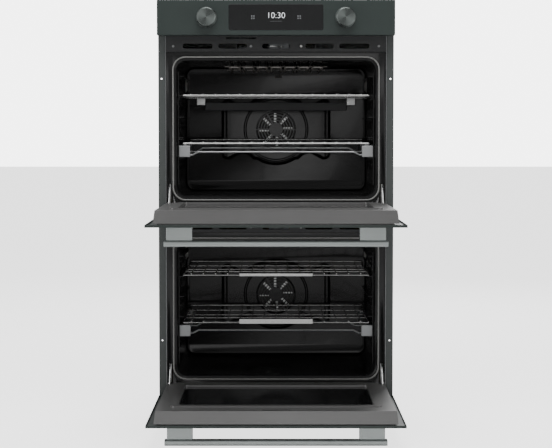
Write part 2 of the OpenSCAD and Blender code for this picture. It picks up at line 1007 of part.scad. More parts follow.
module latch_hook(i) {
    color(bright)
        translate([latch_pivot_x, latch_pivot_y, strip_z(i) + latch_up])
            rotate([0, 0, -latch_rest])
                difference() {
                    union() {
                        translate([0, 0, -2])
                            cylinder(r = 7, h = 4);
                        block([-4, -latch_arm, -2], [4, 0, 2]);
                        block([-10, -latch_arm, -2], [4, -latch_arm + 6, 2]);
                    }
                    translate([0, 0, -3])
                        cylinder(r = 3 + run_fit, h = 6);
                }
}

module upper_latch_hook() {
    latch_hook(UPPER);
}

module lower_latch_hook() {
    latch_hook(LOWER);
}

module plunger(i) {
    color("#d8d8d4")
        translate([plunger_x, door_in_y + 0.4, strip_z(i) + latch_up])
            rotate([-90, 0, 0]) {
                cylinder(r = plunger_r, h = 24);
                translate([0, 0, seal_space + frame_t + 6])
                    cylinder(r = plunger_r + 3, h = 6);
            }
}

module upper_plunger() {
    plunger(UPPER);
}

module lower_plunger() {
    plunger(LOWER);
}

module hinge_receivers() {
    web = 2;
    web_x = lug_x + lug_w;
    out_x = case_half - sheet_t - 1;
    color(bright)
        for (i = OVENS)
            translate([0, 0, hinge_z(i)])
                both_sides() {
                    block([lug_x, hinge_y, -6], [web_x, 45, 6]);
                    translate([lug_x, hinge_y, 0])
                        rotate([0, 90, 0])
                            cylinder(r = 6, h = lug_w);
                    translate([lug_x - pin_len, hinge_y, 0])
                        rotate([0, 90, 0])
                            cylinder(r = pin_r, h = pin_len);
                    block([web_x - eps, 0, -8], [web_x + web, 45, stay_pivot_up + 18]);
                    translate([web_x + web - eps, stay_pivot_y, stay_pivot_up])
                        rotate([0, 90, 0])
                            cylinder(r = stay_pin_r, h = stay_w + 1.5);
                    block([web_x, 43, -8], [out_x, 45, stay_pivot_up + 18]);
                    block([out_x - web, frame_y + frame_t, -8], [out_x, 45, stay_pivot_up + 18]);
                }
}

module stay_arms(i) {
    color(bright)
        translate([0, stay_pivot_y, hinge_z(i) + stay_pivot_up])
            both_sides()
                translate([stay_x, 0, 0])
                    rotate([stay_angle, 0, 0])
                        difference() {
                            union() {
                                block([0, -stay_len + 4, -4], [stay_w, 0, 4]);
                                rotate([0, 90, 0])
                                    cylinder(r = 7, h = stay_w);
                                translate([0, -stay_len + 4, 0])
                                    rotate([0, 90, 0])
                                        cylinder(r = 4, h = stay_w);
                            }
                            translate([-1, 0, 0])
                                rotate([0, 90, 0])
                                    cylinder(r = stay_pin_r + run_fit, h = stay_w + 2);
                        }
}

module upper_stay_arms() {
    stay_arms(UPPER);
}

module lower_stay_arms() {
    stay_arms(LOWER);
}

// ---------- electrical box and screws ----------

module junction_box() {
    box_x = case_half - 128;
    wall = 2;
    color(grey_steel)
        translate([-box_x - 50, case_d - 60, top_z - 65])
            difference() {
                union() {
                    block([-50, 0, -45], [50, 60, 45]);
                    block([-56, 60 - sheet_t - 1.5, -51], [56, 60 - sheet_t, 51]);
                }
                block([-50 + wall, wall, -45 + wall], [50 - wall, 60 - wall, 45 - wall]);
                translate([0, 60 - wall - 1, 0])
                    rotate([-90, 0, 0])
                        cylinder(r = knockout_r, h = wall + 2);
            }
}

module frame_screws() {
    color(grey_steel) {
        for (i = OVENS, s = SIDES)
            screw([s * (case_half - 26), frame_y, strip_z(i) + latch_up]);
        for (i = OVENS)
            screw([-plunger_x, frame_y, strip_z(i) + latch_up], 0);
    }
}

// pan-head screw, head towards the front
module screw(p, shank = 8) {
    translate(p)
        rotate([90, 0, 0]) {
            cylinder(r = 4, h = 2.2);
            if (shank > 0)
                translate([0, 0, -shank])
                    cylinder(r = 2, h = shank + eps);
        }
}

// ---------- doors ----------

glass_frame = 24;

module door_skin(i) {
    z = door_z(i);
    glass_z = z + door_h / 2 - 25;
    color(green)
        open_door(i)
            difference() {
                block([-half_w, door_out_y, z], [half_w, door_out_y + skin_d, z + door_h]);
                block([-half_w + 2, door_out_y + 2, z + 2],
                    [half_w - 2, door_out_y + skin_d + 1, z + door_h - 2]);
                along_y(door_out_y - 1, 4)
                    translate([0, glass_z])
                        round_rect(outer_glass_w, outer_glass_h, 12);
            }
}

outer_glass_w = window_w + 12;
outer_glass_h = window_h + 17;

module upper_door_skin() {
    door_skin(UPPER);
}

module lower_door_skin() {
    door_skin(LOWER);
}

module door_glass(i) {
    glass_z = door_z(i) + door_h / 2 - 25;
    color(glass_black)
        open_door(i) {
            along_y(door_out_y + 2, 4)
                translate([0, glass_z])
                    square([outer_glass_w + 24, outer_glass_h + 24], center = true);
            along_y(door_out_y + 0.4, 1.6 + eps)
                translate([0, glass_z])
                    round_rect(outer_glass_w - 2 * seat_gap, outer_glass_h - 2 * seat_gap, 12 - seat_gap);
        }
}

module upper_door_glass() {
    door_glass(UPPER);
}

module lower_door_glass() {
    door_glass(LOWER);
}

module inner_glass(i) {
    z = hinge_z(i) + window_up + window_h / 2;
    color(glass_black)
        open_door(i)
            for (y = [door_in_y - 2 - 4, door_in_y - 22])
                along_y(y, 4)
                    translate([0, z])
                        square([window_w + 20, window_h + 20], center = true);
}

module upper_inner_glass() {
    inner_glass(UPPER);
}

module lower_inner_glass() {
    inner_glass(LOWER);
}

// block that narrows towards the cavity, used for the outside and the inside of the pan
module pan_block(i, inset, y0, y1) {
    foot_y = door_out_y + skin_d + skin_gap;
    z0 = door_z(i);
    z1 = z0 + door_h;
    slope = pan_taper / (door_in_y - foot_y);
    foot = half_w - pan_inset - inset;
    x0 = foot - slope * (y0 - foot_y);
    x1 = foot - slope * (y1 - foot_y);
    intersection() {
        translate([0, 0, z0 + inset])
            linear_extrude(door_h - 2 * inset)
                polygon([[-x0, y0], [x0, y0], [x1, y1], [-x1, y1]]);
        translate([-half_w, 0, 0])
            rotate([90, 0, 90])
                linear_extrude(oven_w)
                    polygon([[y0, z0 + inset], [y1, z0 + inset],
                        [y1, z1 - inset - pan_taper * (y1 - foot_y) / (door_in_y - foot_y)],
                        [y0, z1 - inset - pan_taper * (y0 - foot_y) / (door_in_y - foot_y)]]);
    }
}

module door_pan(i) {
    foot_y = door_out_y + skin_d + skin_gap;
    wall = 2;
    win_z = hinge_z(i) + window_up + window_h / 2;
    neck = 14;
    color("#3a3a3b")
        open_door(i) {
            difference() {
                union() {
                    pan_block(i, 0, foot_y, door_in_y);
                    along_y(door_in_y - eps, 4)
                        translate([0, win_z])
                            round_rect(window_w + 2 * glass_frame, window_h + 2 * glass_frame, 20);
                }
                pan_block(i, wall, foot_y - 1, door_in_y - wall);
                along_y(door_in_y - 5, 12)
                    translate([0, win_z])
                        round_rect(window_w, window_h, 10);
                along_y(door_in_y - eps - 1, 3.5)
                    translate([0, win_z])
                        difference() {
                            round_rect(window_w + 2 * glass_frame - 4, window_h + 2 * glass_frame - 4, 18);
                            round_rect(window_w + 4, window_h + 4, 12);
                        }
                along_y(door_in_y - 5, 10)
                    translate([0, strip_z(i) + latch_up])
                        slot(latch_slot_w, latch_slot_h);
                both_sides()
                    block([hinge_slot_x, hinge_y - 12, door_z(i) - 1],
                        [hinge_slot_x + hinge_slot_w, door_in_y + 1, hinge_z(i) + 25]);
            }
            // neck that joins the pan to the skin inside the shadow gap
            difference() {
                along_y(door_out_y + 2, foot_y - door_out_y)
                    translate([-half_w + pan_inset + neck, door_z(i) + neck])
                        square([oven_w - 2 * (pan_inset + neck), door_h - 2 * neck]);
                along_y(door_out_y + 1, foot_y - door_out_y + 2)
                    translate([-half_w + pan_inset + neck + wall, door_z(i) + neck + wall])
                        square([oven_w - 2 * (pan_inset + neck + wall), door_h - 2 * (neck + wall)]);
            }
            along_y(foot_y, 2)
                difference() {
                    translate([-half_w + pan_inset + 1, door_z(i) + 1])
                        square([oven_w - 2 * (pan_inset + 1), door_h - 2]);
                    translate([-half_w + pan_inset + neck + wall, door_z(i) + neck + wall])
                        square([oven_w - 2 * (pan_inset + neck + wall), door_h - 2 * (neck + wall)]);
                }
            both_sides()
                difference() {
                    block([lug_x - 8, hinge_y - 8, hinge_z(i) - hinge_up + 1],
                        [lug_x - 2, door_in_y - 1, hinge_z(i) + 18]);
                    translate([lug_x - 9, hinge_y, hinge_z(i)])
                        rotate([0, 90, 0])
                            cylinder(r = pin_r + run_fit, h = 8);
                }
        }
}

module upper_door_pan() {
    door_pan(UPPER);
}

module lower_door_pan() {
    door_pan(LOWER);
}

module handle_bar(i) {
    z = door_z(i) + door_h - handle_down;
    r = 6;
    color(green)
        open_door(i)
            translate([-handle_w / 2, door_out_y - handle_reach - handle_t / 2, z])
                rotate([90, 0, 90])
                    linear_extrude(handle_w)
                        round_rect(handle_t, handle_h, r);
}

module upper_handle_bar() {
    handle_bar(UPPER);
}

module lower_handle_bar() {
    handle_bar(LOWER);
}

module handle_posts(i) {
    z = door_z(i) + door_h - handle_down;
    post_t = 16;
    color(green)
        open_door(i)
            both_sides()
                block([handle_w / 2 - 7 - post_w, door_out_y - handle_reach, z - post_t / 2],
                    [handle_w / 2 - 7, door_out_y, z + post_t / 2]);
}

module upper_handle_posts() {
    handle_posts(UPPER);
}

module lower_handle_posts() {
    handle_posts(LOWER);
}

base_pan();
side_panels();
rear_panel();
top_cover();
side_trims();
base_trim();
control_fascia();
control_glass();
control_board();
vent_strips();
upper_cavity();
lower_cavity();
door_gaskets();
insulation_wraps();
fan_covers();
convection_elements();
fan_motors();
broil_elements();
bake_elements();
oven_lamps();
temperature_sensors();
rack_guides();
slide_rails();
blower_housing();
latch_motors();
hinge_receivers();
junction_box();
frame_screws();
upper_door_skin();
upper_door_glass();
upper_inner_glass();
upper_door_pan();
upper_handle_bar();
upper_handle_posts();
lower_door_skin();
lower_door_glass();
lower_inner_glass();
lower_door_pan();
lower_handle_bar();
lower_handle_posts();
upper_stay_arms();
lower_stay_arms();
left_knob();
right_knob();
upper_flat_rack();
lower_flat_rack();
rack_bar();
upper_roll_rack();
lower_roll_rack();
upper_slide_frame();
lower_slide_frame();
upper_mid_rails();
lower_mid_rails();
upper_fan();
lower_fan();
blower_wheel();
upper_latch_hook();
lower_latch_hook();
upper_plunger();
lower_plunger();
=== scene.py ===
import json
import math

import bmesh
import bpy
from mathutils import Matrix, Vector


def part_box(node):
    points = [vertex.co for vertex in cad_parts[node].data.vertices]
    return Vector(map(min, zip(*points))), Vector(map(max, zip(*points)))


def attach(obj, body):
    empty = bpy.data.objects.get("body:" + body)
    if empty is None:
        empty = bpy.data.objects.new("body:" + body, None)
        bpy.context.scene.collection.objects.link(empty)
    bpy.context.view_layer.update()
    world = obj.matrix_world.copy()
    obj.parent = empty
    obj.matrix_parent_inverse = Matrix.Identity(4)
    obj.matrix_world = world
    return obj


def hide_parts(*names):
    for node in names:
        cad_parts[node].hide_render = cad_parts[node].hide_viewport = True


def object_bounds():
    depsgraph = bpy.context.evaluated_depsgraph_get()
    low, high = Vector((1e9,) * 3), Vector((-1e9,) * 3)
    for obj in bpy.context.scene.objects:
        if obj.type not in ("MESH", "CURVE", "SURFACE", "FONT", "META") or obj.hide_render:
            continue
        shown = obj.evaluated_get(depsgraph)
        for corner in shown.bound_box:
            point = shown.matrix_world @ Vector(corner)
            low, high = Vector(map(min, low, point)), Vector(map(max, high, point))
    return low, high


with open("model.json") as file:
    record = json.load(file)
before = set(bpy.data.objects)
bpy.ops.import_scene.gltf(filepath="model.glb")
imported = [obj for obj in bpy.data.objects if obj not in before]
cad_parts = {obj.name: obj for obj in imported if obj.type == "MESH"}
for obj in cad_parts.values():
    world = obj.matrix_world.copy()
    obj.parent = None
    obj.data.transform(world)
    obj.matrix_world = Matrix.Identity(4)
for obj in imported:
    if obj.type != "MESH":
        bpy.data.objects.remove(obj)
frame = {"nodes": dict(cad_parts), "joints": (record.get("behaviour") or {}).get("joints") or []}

cad_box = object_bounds()

# ---------------------------------------------------------------- camera, floor and light
# A long lens in front of the oven, a little below the control panel and tipped down by three
# degrees, in a white studio with a big soft light above the camera and two at the sides.

CAMERA_TIP = math.radians(3.05)
camera = bpy.data.objects.new("camera", bpy.data.cameras.new("camera"))
bpy.context.scene.collection.objects.link(camera)
camera.location = (0, -5.307, 0.9125)
camera.rotation_euler = (math.pi / 2 - CAMERA_TIP, 0, 0)
camera.data.lens = 106.65
camera.data.sensor_width = 36
camera.data.clip_end = 60
bpy.context.scene.camera = camera


def softbox(name, place, aim, size, watts):
    """A rectangular area light that points at aim."""
    light = bpy.data.lights.new(name, "AREA")
    light.shape = "RECTANGLE"
    light.size, light.size_y = size
    light.energy = watts
    lamp = bpy.data.objects.new(name, light)
    bpy.context.scene.collection.objects.link(lamp)
    lamp.location = place
    lamp.rotation_euler = (Vector(aim) - Vector(place)).to_track_quat("-Z", "Y").to_euler()
    return lamp


softbox("top_box", (0, -1.1, 3.3), (0, -0.25, 0.7), (2.2, 1.6), 62)
softbox("front_box", (0, -6.0, 0.75), (0, 0, 0.75), (1.0, 1.3), 6)
softbox("left_box", (-3.2, -1.6, 1.3), (0, 0, 0.7), (0.7, 2.2), 26)
softbox("right_box", (3.2, -1.6, 1.3), (0, 0, 0.7), (0.7, 2.2), 26)
softbox("rear_box", (0.6, 4.0, 2.6), (0, 0.5, 0.7), (1.8, 1.4), 60)


def stage_glow(tree, strength, seen, given):
    """The backdrop and the floor look brighter, by seen, than the light that they give to the object."""
    ray = tree.nodes.new("ShaderNodeLightPath")
    total = tree.nodes.new("ShaderNodeMath")
    total.operation = "MULTIPLY_ADD"
    total.inputs[1].default_value = seen
    total.inputs[2].default_value = given
    tree.links.new(ray.outputs["Is Camera Ray"], total.inputs[0])
    tree.links.new(total.outputs[0], strength)


studio = bpy.data.worlds.new("studio")
bpy.context.scene.world = studio
studio.use_nodes = True
backdrop = studio.node_tree.nodes["Background"]
backdrop.inputs["Color"].default_value = (1, 1, 1, 1)
stage_glow(studio.node_tree, backdrop.inputs["Strength"], 5.0, 0.3)

floor_mesh = bmesh.new()
bmesh.ops.create_grid(floor_mesh, x_segments=1, y_segments=1, size=45)
bmesh.ops.translate(floor_mesh, verts=floor_mesh.verts, vec=(0, 0, cad_box[0].z - 0.0005))
floor_data = bpy.data.meshes.new("studio_floor")
floor_mesh.to_mesh(floor_data)
floor = bpy.data.objects.new("studio_floor", floor_data)
bpy.context.scene.collection.objects.link(floor)
floor_paint = bpy.data.materials.new("floor_paint")
floor_paint.use_nodes = True
floor_shader = floor_paint.node_tree.nodes["Principled BSDF"]
floor_shader.inputs["Base Color"].default_value = (0.9, 0.9, 0.9, 1)
floor_shader.inputs["Roughness"].default_value = 0.9
floor_shader.inputs["Emission Color"].default_value = (1, 1, 1, 1)
stage_glow(floor_paint.node_tree, floor_shader.inputs["Emission Strength"], 2.2, 0.0)
floor_data.materials.append(floor_paint)


# ---------------------------------------------------------------- case sheet metal
# The outer case is folded from zinc-coated sheet steel, which has a faint spangle. The cooling
# blower, the fan motors and the latch motors are pressed from the same sheet.


class Reading:
    """A node socket that adds Math nodes to its finish when it is used in arithmetic."""

    def __init__(self, finish, socket):
        self.finish, self.socket = finish, socket

    def __add__(self, other):
        return self.finish.maths("ADD", self, other)

    def __sub__(self, other):
        return self.finish.maths("SUBTRACT", self, other)

    def __rsub__(self, other):
        return self.finish.maths("SUBTRACT", other, self)

    def __mul__(self, other):
        return self.finish.maths("MULTIPLY", self, other)

    def __truediv__(self, other):
        return self.finish.maths("DIVIDE", self, other)

    def __gt__(self, other):
        return self.finish.maths("GREATER_THAN", self, other)

    def __lt__(self, other):
        return self.finish.maths("LESS_THAN", self, other)

    __radd__ = __add__
    __rmul__ = __mul__


class Finish:
    """A material with one Principled shader, fed by nodes on Object coordinates."""

    def __init__(self, name, colour, **constants):
        self.material = bpy.data.materials.new(name)
        self.material.use_nodes = True
        self.tree = self.material.node_tree
        self.shader = self.tree.nodes["Principled BSDF"]
        self.shader.inputs["Base Color"].default_value = (*colour, 1)
        self.colour = (*colour, 1)
        for socket, value in constants.items():
            self.shader.inputs[socket.replace("_", " ")].default_value = value
        self.place = self.node("ShaderNodeTexCoord", {}, {}, "Object")

    def node(self, kind, settings, sockets, output=0):
        made = self.tree.nodes.new(kind)
        for name, value in settings.items():
            if name == "stops":
                ramp = made.color_ramp
                ramp.elements[0].position, ramp.elements[0].color = value[0][0], value[0][1]
                ramp.elements[1].position, ramp.elements[1].color = value[-1][0], value[-1][1]
                for position, colour in value[1:-1]:
                    ramp.elements.new(position).color = colour
            else:
                setattr(made, name, value)
        for name, value in sockets.items():
            if isinstance(value, Reading):
                self.tree.links.new(value.socket, made.inputs[name])
            else:
                made.inputs[name].default_value = value
        return Reading(self, made.outputs[output])

    def maths(self, operation, first, second=0.0, clamp=False):
        settings = {"operation": operation, "use_clamp": clamp}
        return self.node("ShaderNodeMath", settings, {0: first, 1: second})

    def clamped(self, reading):
        return self.maths("ADD", reading, 0.0, True)

    def noise(self, scale, detail=3.0, roughness=0.55, where=None):
        sockets = {"Vector": where or self.place, "Scale": scale, "Detail": detail, "Roughness": roughness}
        return self.node("ShaderNodeTexNoise", {}, sockets)

    def stretched(self, x, y, z, shift=(0, 0, 0)):
        sockets = {"Vector": self.place, "Scale": (x, y, z), "Location": shift}
        return self.node("ShaderNodeMapping", {}, sockets)

    def split(self, where=None):
        parts = self.node("ShaderNodeSeparateXYZ", {}, {0: where or self.place})
        return [Reading(self, parts.socket.node.outputs[n]) for n in range(3)]

    def mixed(self, factor, first, second, blend="MIX"):
        settings = {"data_type": "RGBA", "blend_type": blend}
        return self.node("ShaderNodeMix", settings, {0: factor, 6: first, 7: second}, 2)

    def shade(self, factor, low, high):
        """The base colour, from low times itself where factor is 0 to high times itself where it is 1."""
        dark = (*[c * low for c in self.colour[:3]], 1)
        light = (*[min(1, c * high) for c in self.colour[:3]], 1)
        return self.mixed(factor, dark, light)

    def feed(self, **readings):
        for socket, reading in readings.items():
            self.tree.links.new(reading.socket, self.shader.inputs[socket.replace("_", " ")])
        return self.material

    def bump(self, height, strength, distance=0.0004):
        return self.node("ShaderNodeBump", {}, {"Height": height, "Strength": strength, "Distance": distance})


def zinc_sheet():
    zinc = Finish("zinc_sheet", (0.46, 0.475, 0.485), Metallic=0.9)
    spangle = zinc.node("ShaderNodeTexVoronoi", {}, {"Vector": zinc.place, "Scale": 95.0}, "Color")
    cell = zinc.split(spangle)[0]
    cloud = zinc.noise(7.0)
    return zinc.feed(Base_Color=zinc.shade(zinc.clamped(cell * 0.45 + cloud * 0.6), 0.8, 1.12),
                     Roughness=cell * 0.12 + cloud * 0.14 + 0.3,
                     Normal=zinc.bump(cell + cloud * 0.4, 0.06))


def finish_nodes(material, *nodes):
    """Gives a carried-over CAD node its finish."""
    for name in nodes:
        mesh = frame["nodes"][name].data
        mesh.materials.clear()
        mesh.materials.append(material)


finish_nodes(zinc_sheet(), "base_pan", "side_panels", "rear_panel", "top_cover", "junction_box",
             "blower_housing", "blower_wheel", "fan_motors", "latch_motors")


# ---------------------------------------------------------------- painted front
# The control panel, the side trims and the doors' outer skins are steel sheet with a satin
# dark green powder coat. The folded edges are rounded, so they catch a thin line of light.


def softened(node, radius, steps=2, sharp=25):
    """A copy of a CAD node's mesh with its sharp edges rounded to a small radius."""
    form = bmesh.new()
    form.from_mesh(frame["nodes"][node].data)
    bmesh.ops.remove_doubles(form, verts=form.verts, dist=2e-5)
    bmesh.ops.dissolve_limit(form, angle_limit=math.radians(2), verts=form.verts, edges=form.edges)
    corners = [e for e in form.edges
               if len(e.link_faces) == 2 and e.calc_face_angle(0) > math.radians(sharp)]
    bmesh.ops.bevel(form, geom=corners, offset=radius, offset_type="OFFSET", affect="EDGES", segments=steps,
                    profile=0.5, material=-1, clamp_overlap=True)
    return form


def make_piece(name, form, material, body, slot, *nodes):
    """A finished piece from a bmesh: it rides on a CAD body and stands for CAD nodes."""
    data = bpy.data.meshes.new(name)
    form.to_mesh(data)
    form.free()
    data.materials.append(material)
    data.shade_smooth()
    data.set_sharp_from_angle(angle=math.radians(32))
    made = bpy.data.objects.new(name, data)
    bpy.context.scene.collection.objects.link(made)
    even = made.modifiers.new("even_shading", "WEIGHTED_NORMAL")
    even.keep_sharp = True
    even.weight = 80
    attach(made, body)
    if nodes:
        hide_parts(*nodes)
    return made


def powder_coat(name, colour):
    coat = Finish(name, colour, Coat_Roughness=0.25)
    orange_peel = coat.noise(900.0, 2.0)
    cloud = coat.noise(5.0)
    return coat.feed(Base_Color=coat.shade(cloud, 0.92, 1.1),
                     Roughness=cloud * 0.1 + orange_peel * 0.06 + 0.3,
                     Coat_Weight=cloud * 0.1 + 0.1,
                     Normal=coat.bump(orange_peel, 0.08, 0.0002))


green_coat = powder_coat("green_coat", (0.03, 0.042, 0.0385))
trim_coat = powder_coat("trim_coat", (0.07, 0.078, 0.076))
make_piece("panel_fascia", softened("control_fascia", 0.0012, 3), green_coat, "case", "green_paint",
           "control_fascia")
make_piece("front_side_trims", softened("side_trims", 0.0008), trim_coat, "case", "painted_trim",
           "side_trims")


# ---------------------------------------------------------------- black trim sheet
# The vent strips above each oven and the base trim are folded black sheet with punched slots.


def satin_black():
    black = Finish("satin_black", (0.033, 0.034, 0.035))
    grain = black.noise(420.0, 2.0)
    cloud = black.noise(9.0)
    return black.feed(Base_Color=black.shade(cloud, 0.85, 1.25),
                      Roughness=cloud * 0.12 + grain * 0.08 + 0.34,
                      Normal=black.bump(grain, 0.1, 0.0002))


black_sheet = satin_black()
make_piece("oven_vent_strips", softened("vent_strips", 0.0005), black_sheet, "case", "dark_trim",
           "vent_strips")
make_piece("louvred_base_trim", softened("base_trim", 0.0008), black_sheet, "case", "dark_trim",
           "base_trim")


# ---------------------------------------------------------------- control glass and clock
# A sheet of black printed glass stands just proud of the panel. The display behind it shows
# the time in white figures, and dim touch marks sit on either side.


def black_glass():
    glass = Finish("black_glass", (0.009, 0.0095, 0.01), Specular_IOR_Level=0.5, Coat_Roughness=0.03)
    smear = glass.noise(14.0)
    return glass.feed(Base_Color=glass.shade(smear, 0.9, 1.15), Roughness=smear * 0.05 + 0.06,
                      Coat_Weight=smear * 0.1 + 0.5, Normal=glass.bump(smear, 0.01))


make_piece("control_panel_glass", softened("control_glass", 0.0006, 3), black_glass(), "case",
           "control_glass", "control_glass")

glass_low, glass_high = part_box("control_glass")
glass_middle = (glass_low + glass_high) / 2
GLASS_FRONT = glass_low.y
FIGURE_SIZE = 0.027
TICK = (0.005, 0.0001, 0.0012)
TOUCH_DOT = (0.0045, 0.0001, 0.0045)
TOUCH_X = 0.074


def display_light(name, colour, strength):
    lit = Finish(name, colour, Emission_Strength=strength, Roughness=0.5)
    speck = lit.noise(600.0)
    return lit.feed(Base_Color=lit.shade(speck, 0.95, 1.0), Emission_Color=lit.shade(speck, 1.1, 1.2))


def display_figures(name, words, size, x, z, material):
    """Flat lit figures just in front of the glass, made a mesh before they are put in place."""
    text = bpy.data.curves.new(name, "FONT")
    text.body = words
    text.size = size
    text.align_x, text.align_y = "CENTER", "CENTER"
    text.extrude = 0.00005
    text.offset = -0.0005
    writing = bpy.data.objects.new(name, text)
    bpy.context.scene.collection.objects.link(writing)
    bpy.context.view_layer.update()
    form = bmesh.new()
    form.from_mesh(writing.to_mesh())
    bpy.data.objects.remove(writing)
    bmesh.ops.rotate(form, cent=(0, 0, 0), matrix=Matrix.Rotation(math.pi / 2, 3, "X"), verts=form.verts)
    bmesh.ops.translate(form, verts=form.verts, vec=(x, GLASS_FRONT - 0.0001, z))
    return make_piece(name, form, material, "case", "control_glass")


def thin_mark(size, x, y, z):
    """A small flat bar about a point."""
    form = bmesh.new()
    bmesh.ops.create_cube(form, size=1, matrix=Matrix.Translation((x, y, z)) @ Matrix.Diagonal((*size, 1)))
    return form


clock_light = display_light("clock_light", (0.8, 0.82, 0.84), 1.1)
faint_light = display_light("faint_light", (0.11, 0.115, 0.12), 0.5)
display_figures("clock_figures", "10:30", FIGURE_SIZE, 0, glass_middle.z + 0.005, clock_light)
for mark in range(5):
    bar = thin_mark(TICK, -0.016 + mark * 0.008, GLASS_FRONT - 0.0001, glass_middle.z - 0.013)
    make_piece(f"clock_tick_{mark}", bar, faint_light, "case", "control_glass")
for side in (-1, 1):
    for row in (-1, 1):
        for column in (-1, 1):
            dot = thin_mark(TOUCH_DOT, side * TOUCH_X + column * 0.0035, GLASS_FRONT - 0.0001,
                            glass_middle.z + row * 0.0035)
            make_piece(f"touch_mark_{side + 1}_{row + 1}_{column + 1}", dot, faint_light, "case",
                       "control_glass")


# ---------------------------------------------------------------- knobs
# Each knob is turned from aluminium and tinted to match the paint: a skirt, a knurled waist and
# a spun-brushed face inside a bright chamfer, with a short pointer line cut into the rim.


def turned(profile, steps=96):
    """A solid of revolution about the Y axis from a profile of (radius, distance along Y)."""
    form = bmesh.new()
    ring = [form.verts.new((radius, along, 0)) for radius, along in profile]
    lines = [form.edges.new(pair) for pair in zip(ring, ring[1:])]
    bmesh.ops.spin(form, geom=ring + lines, cent=(0, 0, 0), axis=(0, 1, 0), dvec=(0, 0, 0),
                   angle=2 * math.pi, steps=steps, use_merge=True, use_duplicate=False)
    bmesh.ops.remove_doubles(form, verts=form.verts, dist=1e-6)
    bmesh.ops.recalc_face_normals(form, faces=form.faces)
    return form


def spun_metal_with_painted_highlight(name, colour, x, z):
    """Spun-brushed metal whose base colour is painted lighter in two opposite fans, a painted highlight of
    the brushing; the fans also set the roughness.
    """
    metal = Finish(name, colour, Metallic=0.85)
    centred = metal.stretched(1, 1, 1, (-x, 0, -z))
    across, _, up = metal.split(centred)
    turn = metal.maths("ARCTAN2", up, across)
    # painted highlight: two opposite fans round the middle lighten the base colour
    painted_highlight_fans = metal.maths("COSINE", turn * 2 + 1.1) * 0.5 + 0.5
    radius = metal.maths("SQRT", across * across + up * up)
    rings = metal.maths("SINE", radius * 9000) * 0.5 + 0.5
    return metal.feed(Base_Color=metal.shade(metal.clamped(painted_highlight_fans * 0.85 + rings * 0.15), 0.62, 1.5),
                      Roughness=painted_highlight_fans * 0.12 + 0.24, Normal=metal.bump(rings, 0.03, 0.0001))


def knob_form(low, high):
    """A turned knob whose waist between face and skirt is knurled."""
    radius = (high.x - low.x) / 2
    front, foot = low.y, glass_low.y - 0.001
    face = [(0, front), (radius - 0.0058, front), (radius - 0.0036, front + 0.0018)]
    grip = [(radius - 0.003, front + 0.004), (radius - 0.0032, front + 0.013),
            (radius - 0.0022, front + 0.016)]
    skirt = [(radius, front + 0.0185), (radius, foot - 0.0006), (radius - 0.0006, foot), (0, foot)]
    form = turned(face + grip + skirt)
    waist = [f for f in form.faces
             if front + 0.004 < f.calc_center_median().y < front + 0.0135 and abs(f.normal.y) < 0.3]
    bmesh.ops.inset_individual(form, faces=waist, thickness=0.00025, depth=-0.0004)
    return form


POINTER = (0.0012, 0.0004, 0.005)
for side in ("left", "right"):
    low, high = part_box(f"{side}_knob")
    middle = (low + high) / 2
    form = knob_form(low, high)
    bmesh.ops.translate(form, verts=form.verts, vec=(middle.x, 0, middle.z))
    brushed = spun_metal_with_painted_highlight(f"{side}_knob_metal", (0.165, 0.186, 0.178), middle.x, middle.z)
    make_piece(f"{side}_turned_knob", form, brushed, f"{side}_knob", "knob_metal", f"{side}_knob")
    line = thin_mark(POINTER, middle.x, low.y - 0.00005, high.z - 0.0095)
    make_piece(f"{side}_knob_pointer", line, black_sheet, f"{side}_knob", "knob_metal")


# ---------------------------------------------------------------- oven cavities
# Each cavity is one deep-drawn steel shell with a broad front frame, glazed inside and out in
# glossy black porcelain enamel. All its corners are soft from the drawing and the thick glaze.

WALL = 0.002
SHELL_SHEET = 0.0018
FOLD_WIDTH = 0.0035
SLOT_IN, SLOT_OUT = 0.3363, 0.3483
SLOT_BELOW, SLOT_ABOVE = 0.009, 0.082


def porcelain(name, fold=None):
    """Black enamel. A fold is a pressed line at that distance on both sides of the middle."""
    glaze = Finish(name, (0.0095, 0.0095, 0.0098), Specular_IOR_Level=0.4)
    speck = glaze.node("ShaderNodeTexVoronoi", {}, {"Vector": glaze.place, "Scale": 420.0})
    fleck = speck < 0.13
    ripple = glaze.noise(30.0, 2.0)
    film = glaze.noise(4.0)
    height = ripple * 0.036
    if fold:
        beside = glaze.maths("ABSOLUTE", glaze.split()[0])
        off_fold = glaze.maths("ABSOLUTE", beside - fold)
        height = height - glaze.clamped(1.0 - off_fold / FOLD_WIDTH)
    return glaze.feed(Base_Color=glaze.shade(glaze.clamped(fleck * 0.7 + film * 0.3), 0.85, 2.6),
                      Roughness=film * 0.12 + ripple * 0.06 + 0.1,
                      Coat_Weight=film * 0.1 + 0.05,
                      Normal=glaze.bump(height, 1.0, 0.002))


black_enamel = porcelain("black_porcelain")


def rounded_loop(form, width, height, radius, middle, along):
    """The outline of a rectangle with round corners, standing across Y at a given depth."""
    standing = Matrix.Translation((middle[0], along, middle[1])) @ Matrix.Rotation(math.pi / 2, 4, "X")
    made = bmesh.ops.create_grid(form, x_segments=1, y_segments=1, size=0.5,
                                 matrix=standing @ Matrix.Diagonal((width, height, 1, 1)))
    rounded = bmesh.ops.bevel(form, geom=made["verts"], offset=radius, affect="VERTICES", segments=6,
                              profile=0.5, material=-1)
    face = rounded["verts"][0].link_faces[0]
    edges = list(face.edges)
    form.faces.remove(face)
    return edges


def lofted(form, loops):
    """Bridges a run of rounded outlines, each (width, height, radius, middle, depth)."""
    rings = [rounded_loop(form, *loop) for loop in loops]
    for near, far in zip(rings, rings[1:]):
        bmesh.ops.bridge_loops(form, edges=near + far)
    return rings


